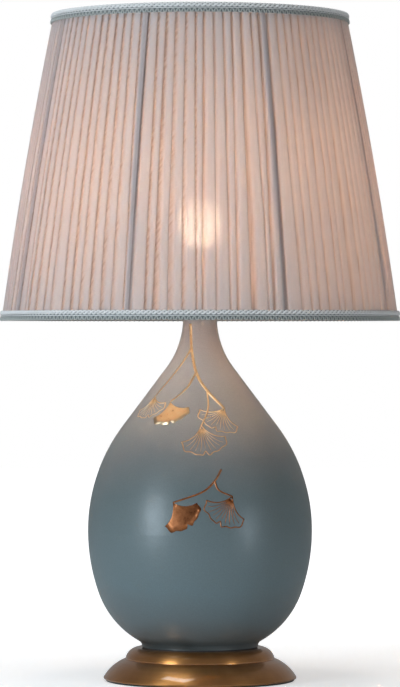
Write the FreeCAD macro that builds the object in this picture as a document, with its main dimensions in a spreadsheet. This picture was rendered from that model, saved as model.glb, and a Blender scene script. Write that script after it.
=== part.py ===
# Porcelain table lamp with a pleated shade, modelled in millimetres.
# The origin is the middle of the underside of the felt, +Z is up and the lamp's front faces -Y.
import FreeCAD, Part
import math
import os
import re
import Sketcher

# Driving dimensions, in millimetres, apart from counts, angles in degrees and shares.
SIZES = {
    # Clearances and helpers
    "running_gap": 0.3,
    "cut_overrun": 3.0,
    # Base
    "felt_thickness": 1.5,
    "felt_margin": 2.5,
    "base_radius": 96.5,
    "base_height": 33.0,
    "base_wall": 1.6,
    "rim_lip_width": 7.0,
    "rim_round": 1.8,
    "step_radius": 74.4,
    "step_height": 21.5,
    "step_groove": 1.2,
    "lower_tier_arc": 42.0,
    "upper_tier_arc": 13.5,
    "plate_radius": 63.5,
    "weight_radius": 58.0,
    "weight_thickness": 18.0,
    "weight_chamfer": 3.0,
    # Cord inlet at the back of the base
    "inlet_height": 10.5,
    "inlet_bore_radius": 3.75,
    "inlet_barrel_radius": 5.2,
    "inlet_flange_radius": 7.2,
    "inlet_flange_width": 2.0,
    "inlet_inner_reach": 12.0,
    # Threaded pipe and what clamps on it
    "pipe_radius": 5.0,
    "pipe_bore_radius": 3.4,
    "pipe_overhang": 2.0,
    "lower_washer_radius": 17.0,
    "lower_washer_thickness": 1.6,
    "nut_across_flats": 15.0,
    "lower_nut_height": 5.0,
    "neck_nut_height": 3.0,
    # Porcelain body
    "foot_gasket_thickness": 1.0,
    "foot_gasket_width": 14.0,
    "foot_radius": 58.0,
    "foot_heel_height": 0.8,
    "foot_cove_width": 3.6,
    "foot_cove_height": 5.2,
    "foot_cove_arc": 6.5,
    "foot_hole_radius": 24.0,
    "porcelain_wall": 5.0,
    "porcelain_floor": 7.0,
    "belly_radius": 112.0,
    "belly_height": 150.0,
    "side_arc": 188.7,
    "side_turn": 19.2,
    "shoulder_turn": 36.87,
    "shoulder_arc_share": 0.68,
    "neck_radius": 17.0,
    "neck_height": 362.0,
    # Brass cap on the neck
    "neck_gasket_thickness": 1.0,
    "neck_cap_radius": 19.5,
    "neck_cap_height": 5.0,
    "neck_cap_wall": 1.2,
    "neck_cap_arc_share": 1.2,
    # Harp saddle, harp and sleeves
    "saddle_thickness": 1.2,
    "saddle_width": 12.0,
    "harp_foot_spread": 30.0,
    "saddle_bend_radius": 6.0,
    "saddle_ear_height": 14.0,
    "saddle_tab_width": 4.0,
    "saddle_tab_height": 5.0,
    "slot_gap": 0.1,
    "harp_wire_radius": 2.0,
    "harp_foot_radius": 2.7,
    "harp_foot_height": 10.0,
    "harp_straight_height": 27.0,
    "harp_half_width": 56.0,
    "harp_height": 252.0,
    "harp_widest_share": 0.49,
    "harp_lower_bend_share": 0.2,
    "harp_crown_radius": 34.0,
    "harp_crown_flat": 8.0,
    "sleeve_wall": 0.9,
    "sleeve_height": 14.0,
    "sleeve_roof": 1.4,
    "stud_block_radius": 6.0,
    "stud_block_height": 7.0,
    "stud_radius": 3.15,
    "stud_length": 13.0,
    "stud_chamfer": 1.0,
    # Lamp socket
    "socket_cap_height": 17.0,
    "socket_cap_radius": 18.4,
    "socket_cap_wall": 1.0,
    "socket_dome_share": 0.62,
    "socket_collar_radius": 8.0,
    "socket_collar_height": 6.0,
    "shell_radius": 17.0,
    "shell_wall": 0.6,
    "shell_height": 58.0,
    "shell_overlap": 5.0,
    "shell_bead": 0.9,
    "liner_wall": 0.6,
    "insulator_radius": 15.1,
    "insulator_foot": 9.0,
    "insulator_height": 22.0,
    "insulator_chamfer": 2.5,
    "screw_shell_radius": 13.9,
    "screw_shell_wall": 0.5,
    "screw_shell_height": 23.0,
    "contact_width": 6.0,
    "contact_depth": 4.0,
    "contact_thickness": 0.5,
    "contact_rise": 2.0,
    "terminal_screw_radius": 3.2,
    "terminal_screw_head": 1.6,
    "terminal_screw_shank": 1.6,
    "terminal_screw_depth": 5.0,
    "terminal_screw_height": 16.0,
    # Turn knob of the switch
    "knob_height": 21.5,
    "knob_shaft_radius": 1.6,
    "knob_shaft_depth": 9.0,
    "knob_boss_radius": 3.4,
    "knob_boss_length": 7.0,
    "knob_half_width": 7.5,
    "knob_thickness": 4.0,
    "knob_paddle_length": 11.0,
    # Bulb with a round globe
    "bulb_radius": 22.5,
    "bulb_length": 75.0,
    "bulb_neck_radius": 12.0,
    "bulb_meet_share": 1.2,
    "bulb_glass_wall": 0.8,
    "bulb_cap_radius": 13.1,
    "bulb_cap_height": 22.0,
    "bulb_cap_wall": 0.4,
    "bulb_tip_radius": 4.5,
    "bulb_tip_height": 4.0,
    "bulb_seat_radius": 9.0,
    "bulb_stem_radius": 5.0,
    "bulb_stem_height": 32.0,
    "bulb_stem_flare_share": 1.6,
    "bulb_stem_tip_share": 0.7,
    # Shade
    "shade_bottom_height": 360.0,
    "shade_top_height": 664.0,
    "shade_bottom_radius": 198.2,
    "shade_top_radius": 146.5,
    "shade_bulge": 2.4,
    "trim_height": 10.0,
    "trim_backing": 0.6,
    "trim_braid_share": 0.58,
    "trim_roundness_share": 0.72,
    "pleat_depth_top": 2.0,
    "pleat_depth_bottom": 1.3,
    "cloth_thickness": 0.6,
    "layer_gap": 0.3,
    "rib_radius": 1.5,
    "ring_radius": 2.0,
    "ring_inset": 5.0,
    "lining_thickness": 0.8,
    "spider_hub_radius": 13.0,
    "spider_hub_thickness": 2.0,
    "spider_arm_radius": 1.8,
    "spider_arm_root": 9.0,
    # Finial
    "finial_height": 24.0,
    "finial_radius": 8.5,
    "finial_base_radius": 7.0,
    "finial_base_height": 3.0,
    "finial_neck_radius": 5.0,
    "finial_waist_height": 5.0,
    "finial_bore_depth": 13.0,
}
PLEATS = 104
RIBS = 8
SPIDER_ARMS = 3
FIRST_RIB_TURN = -20.5
FIRST_ARM_TURN = 90

# Heights of the stack along the pipe, each on top of the last, as formulas in the named sizes.
PLATE_UNDERSIDE = "(base_height - base_wall)"
WEIGHT_UNDERSIDE = f"({PLATE_UNDERSIDE} - weight_thickness)"
WASHER_UNDERSIDE = f"({WEIGHT_UNDERSIDE} - lower_washer_thickness)"
NUT_UNDERSIDE = f"({WASHER_UNDERSIDE} - lower_nut_height)"
PIPE_BOTTOM = f"({NUT_UNDERSIDE} - pipe_overhang)"
PORCELAIN_BOTTOM = "(base_height + foot_gasket_thickness)"
CAP_SEAT = "(neck_height + neck_gasket_thickness)"
CAP_TOP = f"({CAP_SEAT} + neck_cap_height)"
SADDLE_UNDERSIDE = f"({CAP_TOP} + neck_nut_height)"
SADDLE_TOP = f"({SADDLE_UNDERSIDE} + saddle_thickness)"
PIPE_TOP = f"({SADDLE_TOP} + socket_collar_height)"
INSULATOR_BOTTOM = f"({SADDLE_TOP} + insulator_foot)"
INSULATOR_TOP = f"({INSULATOR_BOTTOM} + insulator_height)"
KNOB_AXIS = f"({SADDLE_TOP} + knob_height)"
SHELL_BOTTOM = f"({SADDLE_TOP} + socket_cap_height - shell_overlap)"
SHELL_TOP = f"({SADDLE_TOP} + shell_height)"
SHELL_INNER = "(shell_radius - shell_wall)"
LINER_OUTER = f"({SHELL_INNER} - layer_gap)"
LINER_INNER = f"({LINER_OUTER} - liner_wall)"
CONTACT_TOP = f"({INSULATOR_TOP} + contact_rise)"
BULB_TIP = f"({CONTACT_TOP} + running_gap)"
BULB_CAP_BOTTOM = f"({BULB_TIP} + bulb_tip_height)"
BULB_CAP_TOP = f"({BULB_CAP_BOTTOM} + bulb_cap_height)"
BULB_TOP = f"({BULB_TIP} + bulb_length)"
BULB_MIDDLE = f"({BULB_TOP} - bulb_radius)"
EAR_TOP = f"({SADDLE_TOP} + saddle_ear_height)"
HARP_WIRE_TOP = f"({SADDLE_TOP} + harp_height)"
BLOCK_TOP = f"({HARP_WIRE_TOP} + stud_block_height / 2)"
HUB_UNDERSIDE = f"({BLOCK_TOP} + running_gap)"
HUB_TOP = f"({HUB_UNDERSIDE} + spider_hub_thickness)"
FINIAL_BOTTOM = f"({HUB_TOP} + running_gap)"

# Cover of the shade: the cloth follows one shallow arc from the bottom ring to the top ring.
TRIM_TOP_LOW = "(shade_top_height - trim_height)"
TRIM_BOTTOM_HIGH = "(shade_bottom_height + trim_height)"
CLOTH_BACK = "(pleat_depth_top + cloth_thickness)"
RIB_INSET = f"({CLOTH_BACK} + layer_gap + ring_radius)"
LINING_INSET = f"({RIB_INSET} + ring_radius + layer_gap)"

doc = FreeCAD.newDocument("table_lamp")
sheet = doc.addObject("Spreadsheet::Sheet", "Sizes")
for row, (alias, number) in enumerate(SIZES.items(), start=1):
    sheet.set(f"A{row}", alias)
    sheet.set(f"B{row}", str(number))
    sheet.setAlias(f"B{row}", alias)
doc.recompute()
pieces = []


def value(formula):
    """The number that a formula in the named sizes gives."""
    return float(sheet.evalExpression(formula))


def bound(formula):
    """The same formula as another object of the document reads it from the sheet."""
    return re.sub(r"\b[a-z]+(_[a-z]+)+\b", r"Sizes.\g<0>", formula)


def new_piece(name):
    """An empty body for one sub-part."""
    body = doc.addObject("PartDesign::Body", name)
    body.Label = name
    pieces.append(body)
    return body


def new_sketch(body, name, plane, height="0"):
    """A sketch on one of the body's own planes, lifted along that plane's normal."""
    sketch = body.newObject("Sketcher::SketchObject", name)
    origin_plane = next(item for item in body.Origin.OriginFeatures if item.Role == plane)
    sketch.AttachmentSupport = [(origin_plane, "")]
    sketch.MapMode = "FlatFace"
    if height != "0":
        sketch.setExpression("AttachmentOffset.Base.z", bound(height))
    return sketch


def arc_between(start, end, radius, side):
    """The arc under half a turn that leads from start to end, with its middle on the given side."""
    chord = end - start
    across = FreeCAD.Vector(-chord.y, chord.x, 0).normalize()
    rise = math.sqrt(max(radius**2 - (chord.Length / 2) ** 2, 0))
    sign = 1 if side == "left" else -1
    centre = (start + end) * 0.5 + across * (rise * sign)
    first, last = (start, end) if side == "left" else (end, start)
    turn_first = math.atan2(first.y - centre.y, first.x - centre.x)
    turn_last = math.atan2(last.y - centre.y, last.x - centre.x)
    if turn_last < turn_first:
        turn_last += 2 * math.pi
    circle = Part.Circle(centre, FreeCAD.Vector(0, 0, 1), radius)
    return Part.ArcOfCircle(circle, turn_first, turn_last)


def hold_point(sketch, edge, end, place):
    """Fixes one end of an edge at a place that is written in the named sizes."""
    for kind, formula in zip(("DistanceX", "DistanceY"), place):
        index = sketch.addConstraint(Sketcher.Constraint(kind, -1, 1, edge, end, value(formula)))
        sketch.setExpression(f"Constraints[{index}]", bound(formula))


def draw_outline(sketch, outline, closed=True):
    """Draws lines and arcs through the places of an outline and fixes each of them.

    A place is (x, y), or (x, y, radius, side) where an arc leads to it.
    """
    points = [FreeCAD.Vector(value(place[0]), value(place[1]), 0) for place in outline]
    ends = []
    first = 0 if closed else 1
    for index in range(first, len(outline)):
        place = outline[index]
        start, end = points[index - 1], points[index]
        if len(place) == 2:
            edge = sketch.addGeometry(Part.LineSegment(start, end), False)
            ends.append((edge, 1, 2))
        else:
            arc = arc_between(start, end, value(place[2]), place[3])
            edge = sketch.addGeometry(arc, False)
            ends.append((edge, 1, 2) if place[3] == "left" else (edge, 2, 1))
    for number, (edge, start, end) in enumerate(ends):
        if closed or number:
            before = ends[number - 1]
            sketch.addConstraint(Sketcher.Constraint("Coincident", before[0], before[2], edge, start))
        if not closed and not number:
            hold_point(sketch, edge, start, outline[0][:2])
        place = outline[first + number]
        hold_point(sketch, edge, end, place[:2])
        if len(place) == 4:
            index = sketch.addConstraint(Sketcher.Constraint("Radius", edge, value(place[2])))
            sketch.setExpression(f"Constraints[{index}]", bound(place[2]))


def draw_circle(sketch, radius, place=("0", "0")):
    """Draws one circle of a named radius."""
    centre = FreeCAD.Vector(value(place[0]), value(place[1]), 0)
    circle = Part.Circle(centre, FreeCAD.Vector(0, 0, 1), value(radius))
    edge = sketch.addGeometry(circle, False)
    hold_point(sketch, edge, 3, place)
    index = sketch.addConstraint(Sketcher.Constraint("Radius", edge, value(radius)))
    sketch.setExpression(f"Constraints[{index}]", bound(radius))


def turn_outline(body, name, outline, kind="Revolution"):
    """Turns an outline in radius and height about the vertical axis, as material or as a groove."""
    sketch = new_sketch(body, f"{name}_outline", "XZ_Plane")
    draw_outline(sketch, outline)
    feature = body.newObject(f"PartDesign::{kind}", name)
    feature.Profile = sketch
    feature.ReferenceAxis = (sketch, ["V_Axis"])
    feature.Angle = 360
    return feature


def turned_piece(name, outline):
    """A piece made by turning one outline."""
    body = new_piece(name)
    turn_outline(body, f"{name}_turned", outline)
    return body


def ring_outline(inner, outer, bottom, top):
    """A plain rectangle in radius and height."""
    return [(inner, bottom), (outer, bottom), (outer, top), (inner, top)]


def pad(body, name, sketch, length, both_ways=False, backwards=False):
    """Pads a sketch by a named length."""
    feature = body.newObject("PartDesign::Pad", name)
    feature.Profile = sketch
    feature.setExpression("Length", bound(length))
    feature.Midplane = both_ways
    feature.Reversed = backwards
    return feature


def pocket(body, name, sketch, length, both_ways=False, backwards=False):
    """Cuts a sketch into the body by a named length."""
    feature = body.newObject("PartDesign::Pocket", name)
    feature.Profile = sketch
    feature.setExpression("Length", bound(length))
    feature.Midplane = both_ways
    feature.Reversed = backwards
    return feature


def polar_copies(body, name, feature, count):
    """Repeats a feature evenly about the vertical axis."""
    pattern = body.newObject("PartDesign::PolarPattern", name)
    pattern.Originals = [feature]
    pattern.Axis = (next(item for item in body.Origin.OriginFeatures if item.Role == "Z_Axis"), [""])
    pattern.Angle = 360
    pattern.Occurrences = count
    body.Tip = pattern
    return pattern


def hex_nut(name, bottom, height):
    """A hexagon nut on the lamp pipe."""
    body = new_piece(name)
    sketch = new_sketch(body, f"{name}_hexagon", "XY_Plane", bottom)
    corner = "nut_across_flats / 2 / cos(30)"
    outline = [(f"{corner} * cos({turn})", f"{corner} * sin({turn})") for turn in range(0, 360, 60)]
    draw_outline(sketch, outline)
    draw_circle(sketch, "pipe_radius")
    pad(body, f"{name}_pad", sketch, height)
    return body


# Base


def base_shell_profile():
    """Outside and inside of the spun two-tier shell, with its turned-in rim lip."""
    inner_step = "(step_radius - base_wall)"
    inner_base = "(base_radius - base_wall)"
    lip_top = "(felt_thickness + base_wall)"
    return [
        ("base_radius - rim_lip_width", "felt_thickness"),
        ("base_radius - rim_round", "felt_thickness"),
        ("base_radius", "felt_thickness + rim_round", "rim_round", "left"),
        ("step_radius + step_groove", "step_height", "lower_tier_arc", "left"),
        ("step_radius", "step_height"),
        ("step_radius", "step_height + step_groove"),
        ("plate_radius", "base_height", "upper_tier_arc", "left"),
        ("pipe_radius + running_gap", "base_height"),
        ("pipe_radius + running_gap", PLATE_UNDERSIDE),
        ("plate_radius - base_wall / 2", PLATE_UNDERSIDE),
        (inner_step, "step_height", "upper_tier_arc - base_wall", "right"),
        (inner_step, "step_height - base_wall"),
        (inner_base, f"{lip_top} + rim_round", "lower_tier_arc - base_wall", "right"),
        (inner_base, lip_top),
        ("base_radius - rim_lip_width", lip_top),
    ]


def inlet_cylinder(body, name, radius, start, length, kind):
    """A round bar or hole along the inlet's axis, which runs level towards the back."""
    sketch = new_sketch(body, f"{name}_circle", "XZ_Plane", f"-({start})")
    draw_circle(sketch, radius, ("0", "inlet_height"))
    make = pad if kind == "pad" else pocket
    return make(body, name, sketch, length, backwards=(kind == "pad"))


def make_base():
    """Felt, spun shell, cast weight, inlet bushing and the nut and washer below."""
    turned_piece("felt_pad", ring_outline("0", "base_radius - felt_margin", "0", "felt_thickness"))
    shell = turned_piece("base_shell", base_shell_profile())
    inlet_hole = "inlet_barrel_radius + running_gap / 2"
    inlet_cylinder(shell, "inlet_hole", inlet_hole, "step_radius", "base_radius", "pocket")
    turned_piece(
        "base_weight",
        [
            ("pipe_radius + running_gap", WEIGHT_UNDERSIDE),
            ("weight_radius - weight_chamfer", WEIGHT_UNDERSIDE),
            ("weight_radius", f"{WEIGHT_UNDERSIDE} + weight_chamfer"),
            ("weight_radius", PLATE_UNDERSIDE),
            ("pipe_radius + running_gap", PLATE_UNDERSIDE),
        ],
    )
    bushing = new_piece("cord_bushing")
    inner_end = "(base_radius - inlet_inner_reach)"
    outer_end = "(base_radius + running_gap)"
    barrel = f"{outer_end} - {inner_end}"
    inlet_cylinder(bushing, "barrel", "inlet_barrel_radius", inner_end, barrel, "pad")
    inlet_cylinder(bushing, "flange", "inlet_flange_radius", outer_end, "inlet_flange_width", "pad")
    bore = "inlet_inner_reach + inlet_flange_width + 2 * cut_overrun"
    inlet_cylinder(bushing, "cord_bore", "inlet_bore_radius", f"{inner_end} - cut_overrun", bore, "pocket")
    turned_piece(
        "lower_washer",
        ring_outline("pipe_radius", "lower_washer_radius", WASHER_UNDERSIDE, WEIGHT_UNDERSIDE),
    )
    hex_nut("lower_nut", NUT_UNDERSIDE, "lower_nut_height")
    turned_piece("lamp_pipe", ring_outline("pipe_bore_radius", "pipe_radius", PIPE_BOTTOM, PIPE_TOP))


# Porcelain body


def porcelain_profile():
    """The teardrop: a coved foot and five tangent stretches, set in by the wall inside."""
    taper = "(neck_height - belly_height) * tan(shoulder_turn) - belly_radius + neck_radius"
    bends = f"({taper}) * cos(shoulder_turn) / (1 - cos(shoulder_turn))"
    shoulder = f"({bends} * shoulder_arc_share)"
    neck = f"({bends} * (1 - shoulder_arc_share))"

    side_centre = "(belly_radius - side_arc)"
    side_end = (
        f"({side_centre} + side_arc * cos(side_turn))",
        "(belly_height - side_arc * sin(side_turn))",
    )
    heel = ("foot_radius", f"({PORCELAIN_BOTTOM} + foot_heel_height)")
    cove_top = ("(foot_radius + foot_cove_width)", f"({heel[1]} + foot_cove_height)")
    across = f"({side_end[0]} - {cove_top[0]})"
    down = f"({side_end[1]} - {cove_top[1]})"
    low = f"(({across}^2 + {down}^2) / (2 * ({across} * cos(side_turn) - {down} * sin(side_turn))))"
    low_centre = (
        f"({side_end[0]} - {low} * cos(side_turn))",
        f"({side_end[1]} + {low} * sin(side_turn))",
    )
    floor = f"({PORCELAIN_BOTTOM} + porcelain_floor)"

    def bends_at(inset):
        """Where the arcs meet on a wall that lies inside the outer one by the inset."""
        return {
            "low_side": (
                f"{low_centre[0]} + ({low} - {inset}) * cos(side_turn)",
                f"{low_centre[1]} - ({low} - {inset}) * sin(side_turn)",
            ),
            "belly": (f"belly_radius - {inset}", "belly_height"),
            "shoulder": (
                f"belly_radius - {shoulder} + ({shoulder} - {inset}) * cos(shoulder_turn)",
                f"belly_height + ({shoulder} - {inset}) * sin(shoulder_turn)",
            ),
            "neck": (
                f"neck_radius + {neck} - ({neck} + {inset}) * cos(shoulder_turn)",
                f"neck_height - ({neck} + {inset}) * sin(shoulder_turn)",
            ),
            "top": (f"neck_radius - {inset}", "neck_height"),
        }

    outer = bends_at("0")
    inner = bends_at("porcelain_wall")
    floor_drop = f"({low_centre[1]} - {floor})"
    floor_edge = f"{low_centre[0]} + sqrt(({low} - porcelain_wall)^2 - {floor_drop}^2)"
    return [
        ("foot_hole_radius", PORCELAIN_BOTTOM),
        ("foot_radius", PORCELAIN_BOTTOM),
        heel,
        (*cove_top, "foot_cove_arc", "right"),
        (*outer["low_side"], low, "left"),
        (*outer["belly"], "side_arc", "left"),
        (*outer["shoulder"], shoulder, "left"),
        outer["neck"],
        (*outer["top"], neck, "right"),
        inner["top"],
        (*inner["neck"], f"{neck} + porcelain_wall", "left"),
        inner["shoulder"],
        (*inner["belly"], f"{shoulder} - porcelain_wall", "right"),
        (*inner["low_side"], "side_arc - porcelain_wall", "right"),
        (floor_edge, floor, f"{low} - porcelain_wall", "right"),
        ("foot_hole_radius", floor),
    ]


def make_porcelain():
    """Body of the lamp with the gaskets at its foot and neck, and the brass cap and nut above."""
    gasket_outer = "(foot_radius - foot_heel_height)"
    turned_piece(
        "foot_gasket",
        ring_outline(f"{gasket_outer} - foot_gasket_width", gasket_outer, "base_height", PORCELAIN_BOTTOM),
    )
    turned_piece("porcelain_body", porcelain_profile())
    turned_piece("neck_gasket", ring_outline("pipe_radius", "neck_radius", "neck_height", CAP_SEAT))
    plate_underside = f"({CAP_TOP} - neck_cap_wall)"
    skirt_bottom = "(neck_height - neck_gasket_thickness)"
    turned_piece(
        "neck_cap",
        [
            ("pipe_radius", CAP_SEAT),
            ("neck_radius - neck_cap_wall", CAP_SEAT),
            ("neck_radius + running_gap", f"{CAP_SEAT} + neck_cap_wall"),
            ("neck_radius + running_gap", skirt_bottom),
            ("neck_cap_radius", skirt_bottom),
            ("neck_cap_radius", f"{plate_underside} - neck_cap_wall"),
            ("neck_cap_radius - neck_cap_height", CAP_TOP, "neck_cap_height * neck_cap_arc_share", "left"),
            ("pipe_radius", CAP_TOP),
        ],
    )
    hex_nut("neck_nut", CAP_TOP, "neck_nut_height")


# Harp


def make_saddle():
    """Bent steel strap whose ears end in narrow tabs for the feet of the harp."""
    body = new_piece("harp_saddle")
    sketch = new_sketch(body, "strap_side", "XZ_Plane")
    outer_x = "(harp_foot_spread + saddle_thickness / 2)"
    inner_x = "(harp_foot_spread - saddle_thickness / 2)"
    tab_top = f"({EAR_TOP} + saddle_tab_height)"
    inner_bend = "(saddle_bend_radius - saddle_thickness)"
    draw_outline(
        sketch,
        [
            (f"{outer_x} - saddle_bend_radius", SADDLE_UNDERSIDE),
            (outer_x, f"{SADDLE_UNDERSIDE} + saddle_bend_radius", "saddle_bend_radius", "left"),
            (outer_x, tab_top),
            (inner_x, tab_top),
            (inner_x, f"{SADDLE_UNDERSIDE} + saddle_bend_radius"),
            (f"{outer_x} - saddle_bend_radius", SADDLE_TOP, inner_bend, "right"),
            (f"-({outer_x} - saddle_bend_radius)", SADDLE_TOP),
            (f"-{inner_x}", f"{SADDLE_UNDERSIDE} + saddle_bend_radius", inner_bend, "right"),
            (f"-{inner_x}", tab_top),
            (f"-{outer_x}", tab_top),
            (f"-{outer_x}", f"{SADDLE_UNDERSIDE} + saddle_bend_radius"),
            (
                f"-({outer_x} - saddle_bend_radius)",
                SADDLE_UNDERSIDE,
                "saddle_bend_radius",
                "left",
            ),
        ],
    )
    pad(body, "strap", sketch, "saddle_width", both_ways=True)
    hole = new_sketch(body, "pipe_hole_circle", "XY_Plane", f"{SADDLE_UNDERSIDE} - cut_overrun")
    draw_circle(hole, "pipe_radius")
    pocket(body, "pipe_hole", hole, "2 * cut_overrun + saddle_thickness", backwards=True)
    for side, sign in (("back", ""), ("front", "-")):
        notch = new_sketch(body, f"{side}_notches", "YZ_Plane")
        inner = f"{sign}(saddle_tab_width / 2)"
        outer = f"{sign}(saddle_width / 2 + cut_overrun)"
        top = f"({tab_top} + cut_overrun)"
        draw_outline(notch, [(inner, EAR_TOP), (outer, EAR_TOP), (outer, top), (inner, top)])
        cut_width = "2 * (harp_foot_spread + cut_overrun)"
        pocket(body, f"{side}_notch_cut", notch, cut_width, both_ways=True)


def harp_path():
    """The middle of the wire on one side, from the foot to the top of the bow."""
    foot_top = f"({EAR_TOP} + harp_foot_height)"
    straight_top = f"({EAR_TOP} + harp_straight_height)"
    widest = f"({SADDLE_TOP} + harp_height * harp_widest_share)"
    spread = "(harp_half_width - harp_foot_spread)"
    climb = f"({widest} - {straight_top})"
    bend = f"(({spread}^2 + {climb}^2) / (2 * {spread}))"
    reach = "(harp_half_width - harp_crown_flat)"
    rise = f"({HARP_WIRE_TOP} - {widest} - harp_crown_radius)"
    side = f"(({reach}^2 + {rise}^2 - harp_crown_radius^2) / (2 * ({reach} - harp_crown_radius)))"
    side_centre = f"(harp_half_width - {side})"
    to_crown = f"(harp_crown_flat - {side_centre})"
    between = f"({side} - harp_crown_radius)"
    crown_height = f"({HARP_WIRE_TOP} - harp_crown_radius)"
    return [
        ("harp_foot_spread", f"{foot_top} - harp_wire_radius"),
        ("harp_foot_spread", straight_top),
        (
            f"harp_foot_spread + {spread} * harp_lower_bend_share",
            f"{straight_top} + {climb} * harp_lower_bend_share",
            f"{bend} * harp_lower_bend_share",
            "right",
        ),
        ("harp_half_width", widest, f"{bend} * (1 - harp_lower_bend_share)", "left"),
        (
            f"harp_crown_flat + harp_crown_radius * {to_crown} / {between}",
            f"{crown_height} + harp_crown_radius * {rise} / {between}",
            side,
            "left",
        ),
        ("harp_crown_flat", HARP_WIRE_TOP, "harp_crown_radius", "left"),
        ("0", HARP_WIRE_TOP),
    ]


def make_harp():
    """Wire bow with slotted feet over the saddle's tabs, and the stud block crimped on its top."""
    body = new_piece("harp_bow")
    feet = new_sketch(body, "foot_circle", "XY_Plane", EAR_TOP)
    draw_circle(feet, "harp_foot_radius", ("harp_foot_spread", "0"))
    foot = pad(body, "foot", feet, "harp_foot_height")
    slot = new_sketch(body, "tab_slot_outline", "XZ_Plane")
    half_slot = "(saddle_thickness / 2 + slot_gap)"
    slot_sides = (f"harp_foot_spread - {half_slot}", f"harp_foot_spread + {half_slot}")
    slot_top = f"{EAR_TOP} + saddle_tab_height + slot_gap"
    draw_outline(slot, ring_outline(*slot_sides, f"{EAR_TOP} - cut_overrun", slot_top))
    tab_slot = pocket(body, "tab_slot", slot, "2 * (harp_foot_radius + cut_overrun)", both_ways=True)
    wire_section = new_sketch(body, "wire_circle", "XY_Plane", harp_path()[0][1])
    draw_circle(wire_section, "harp_wire_radius", ("harp_foot_spread", "0"))
    path = new_sketch(body, "wire_path", "XZ_Plane")
    draw_outline(path, harp_path(), closed=False)
    wire = body.newObject("PartDesign::AdditivePipe", "wire")
    wire.Profile = wire_section
    wire.Spine = (path, [f"Edge{number}" for number in range(1, len(harp_path()))])
    wire.Transition = 0
    other_side = body.newObject("PartDesign::Mirrored", "other_side")
    other_side.Originals = [foot, tab_slot, wire]
    plane = next(item for item in body.Origin.OriginFeatures if item.Role == "YZ_Plane")
    other_side.MirrorPlane = (plane, [""])
    body.Tip = other_side

    block_bottom = f"({BLOCK_TOP} - stud_block_height)"
    stud_top = f"({BLOCK_TOP} + stud_length)"
    stud = turned_piece(
        "harp_stud",
        [
            ("0", block_bottom),
            ("stud_block_radius", block_bottom),
            ("stud_block_radius", BLOCK_TOP),
            ("stud_radius", BLOCK_TOP),
            ("stud_radius", f"{stud_top} - stud_chamfer"),
            ("stud_radius - stud_chamfer", stud_top),
            ("0", stud_top),
        ],
    )
    wire_hole = new_sketch(stud, "wire_hole_circle", "YZ_Plane")
    draw_circle(wire_hole, "harp_wire_radius + slot_gap / 2", ("0", HARP_WIRE_TOP))
    pocket(stud, "wire_hole", wire_hole, "2 * (stud_block_radius + cut_overrun)", both_ways=True)


def make_sleeve(name, sign):
    """Loose sleeve that hangs round a foot of the harp and locks it on the saddle's tab."""
    bore = "(harp_foot_radius + running_gap)"
    bottom = f"({EAR_TOP} + running_gap)"
    roof = f"({bottom} + sleeve_height - sleeve_roof)"
    top = f"({bottom} + sleeve_height)"
    body = turned_piece(
        name,
        [
            (bore, bottom),
            (f"{bore} + sleeve_wall", bottom),
            (f"{bore} + sleeve_wall", f"{top} - sleeve_wall"),
            (bore, top),
            ("harp_wire_radius + running_gap", top),
            ("harp_wire_radius + running_gap", roof),
            (bore, roof),
        ],
    )
    body.setExpression("Placement.Base.x", bound(f"{sign}harp_foot_spread"))


# Lamp socket and switch


def radial_hole(body, name, radius, reach):
    """The hole that the switch shaft passes through, from the middle towards the front."""
    sketch = new_sketch(body, f"{name}_circle", "XZ_Plane")
    draw_circle(sketch, radius, ("0", KNOB_AXIS))
    return pocket(body, name, sketch, reach, backwards=True)


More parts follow.
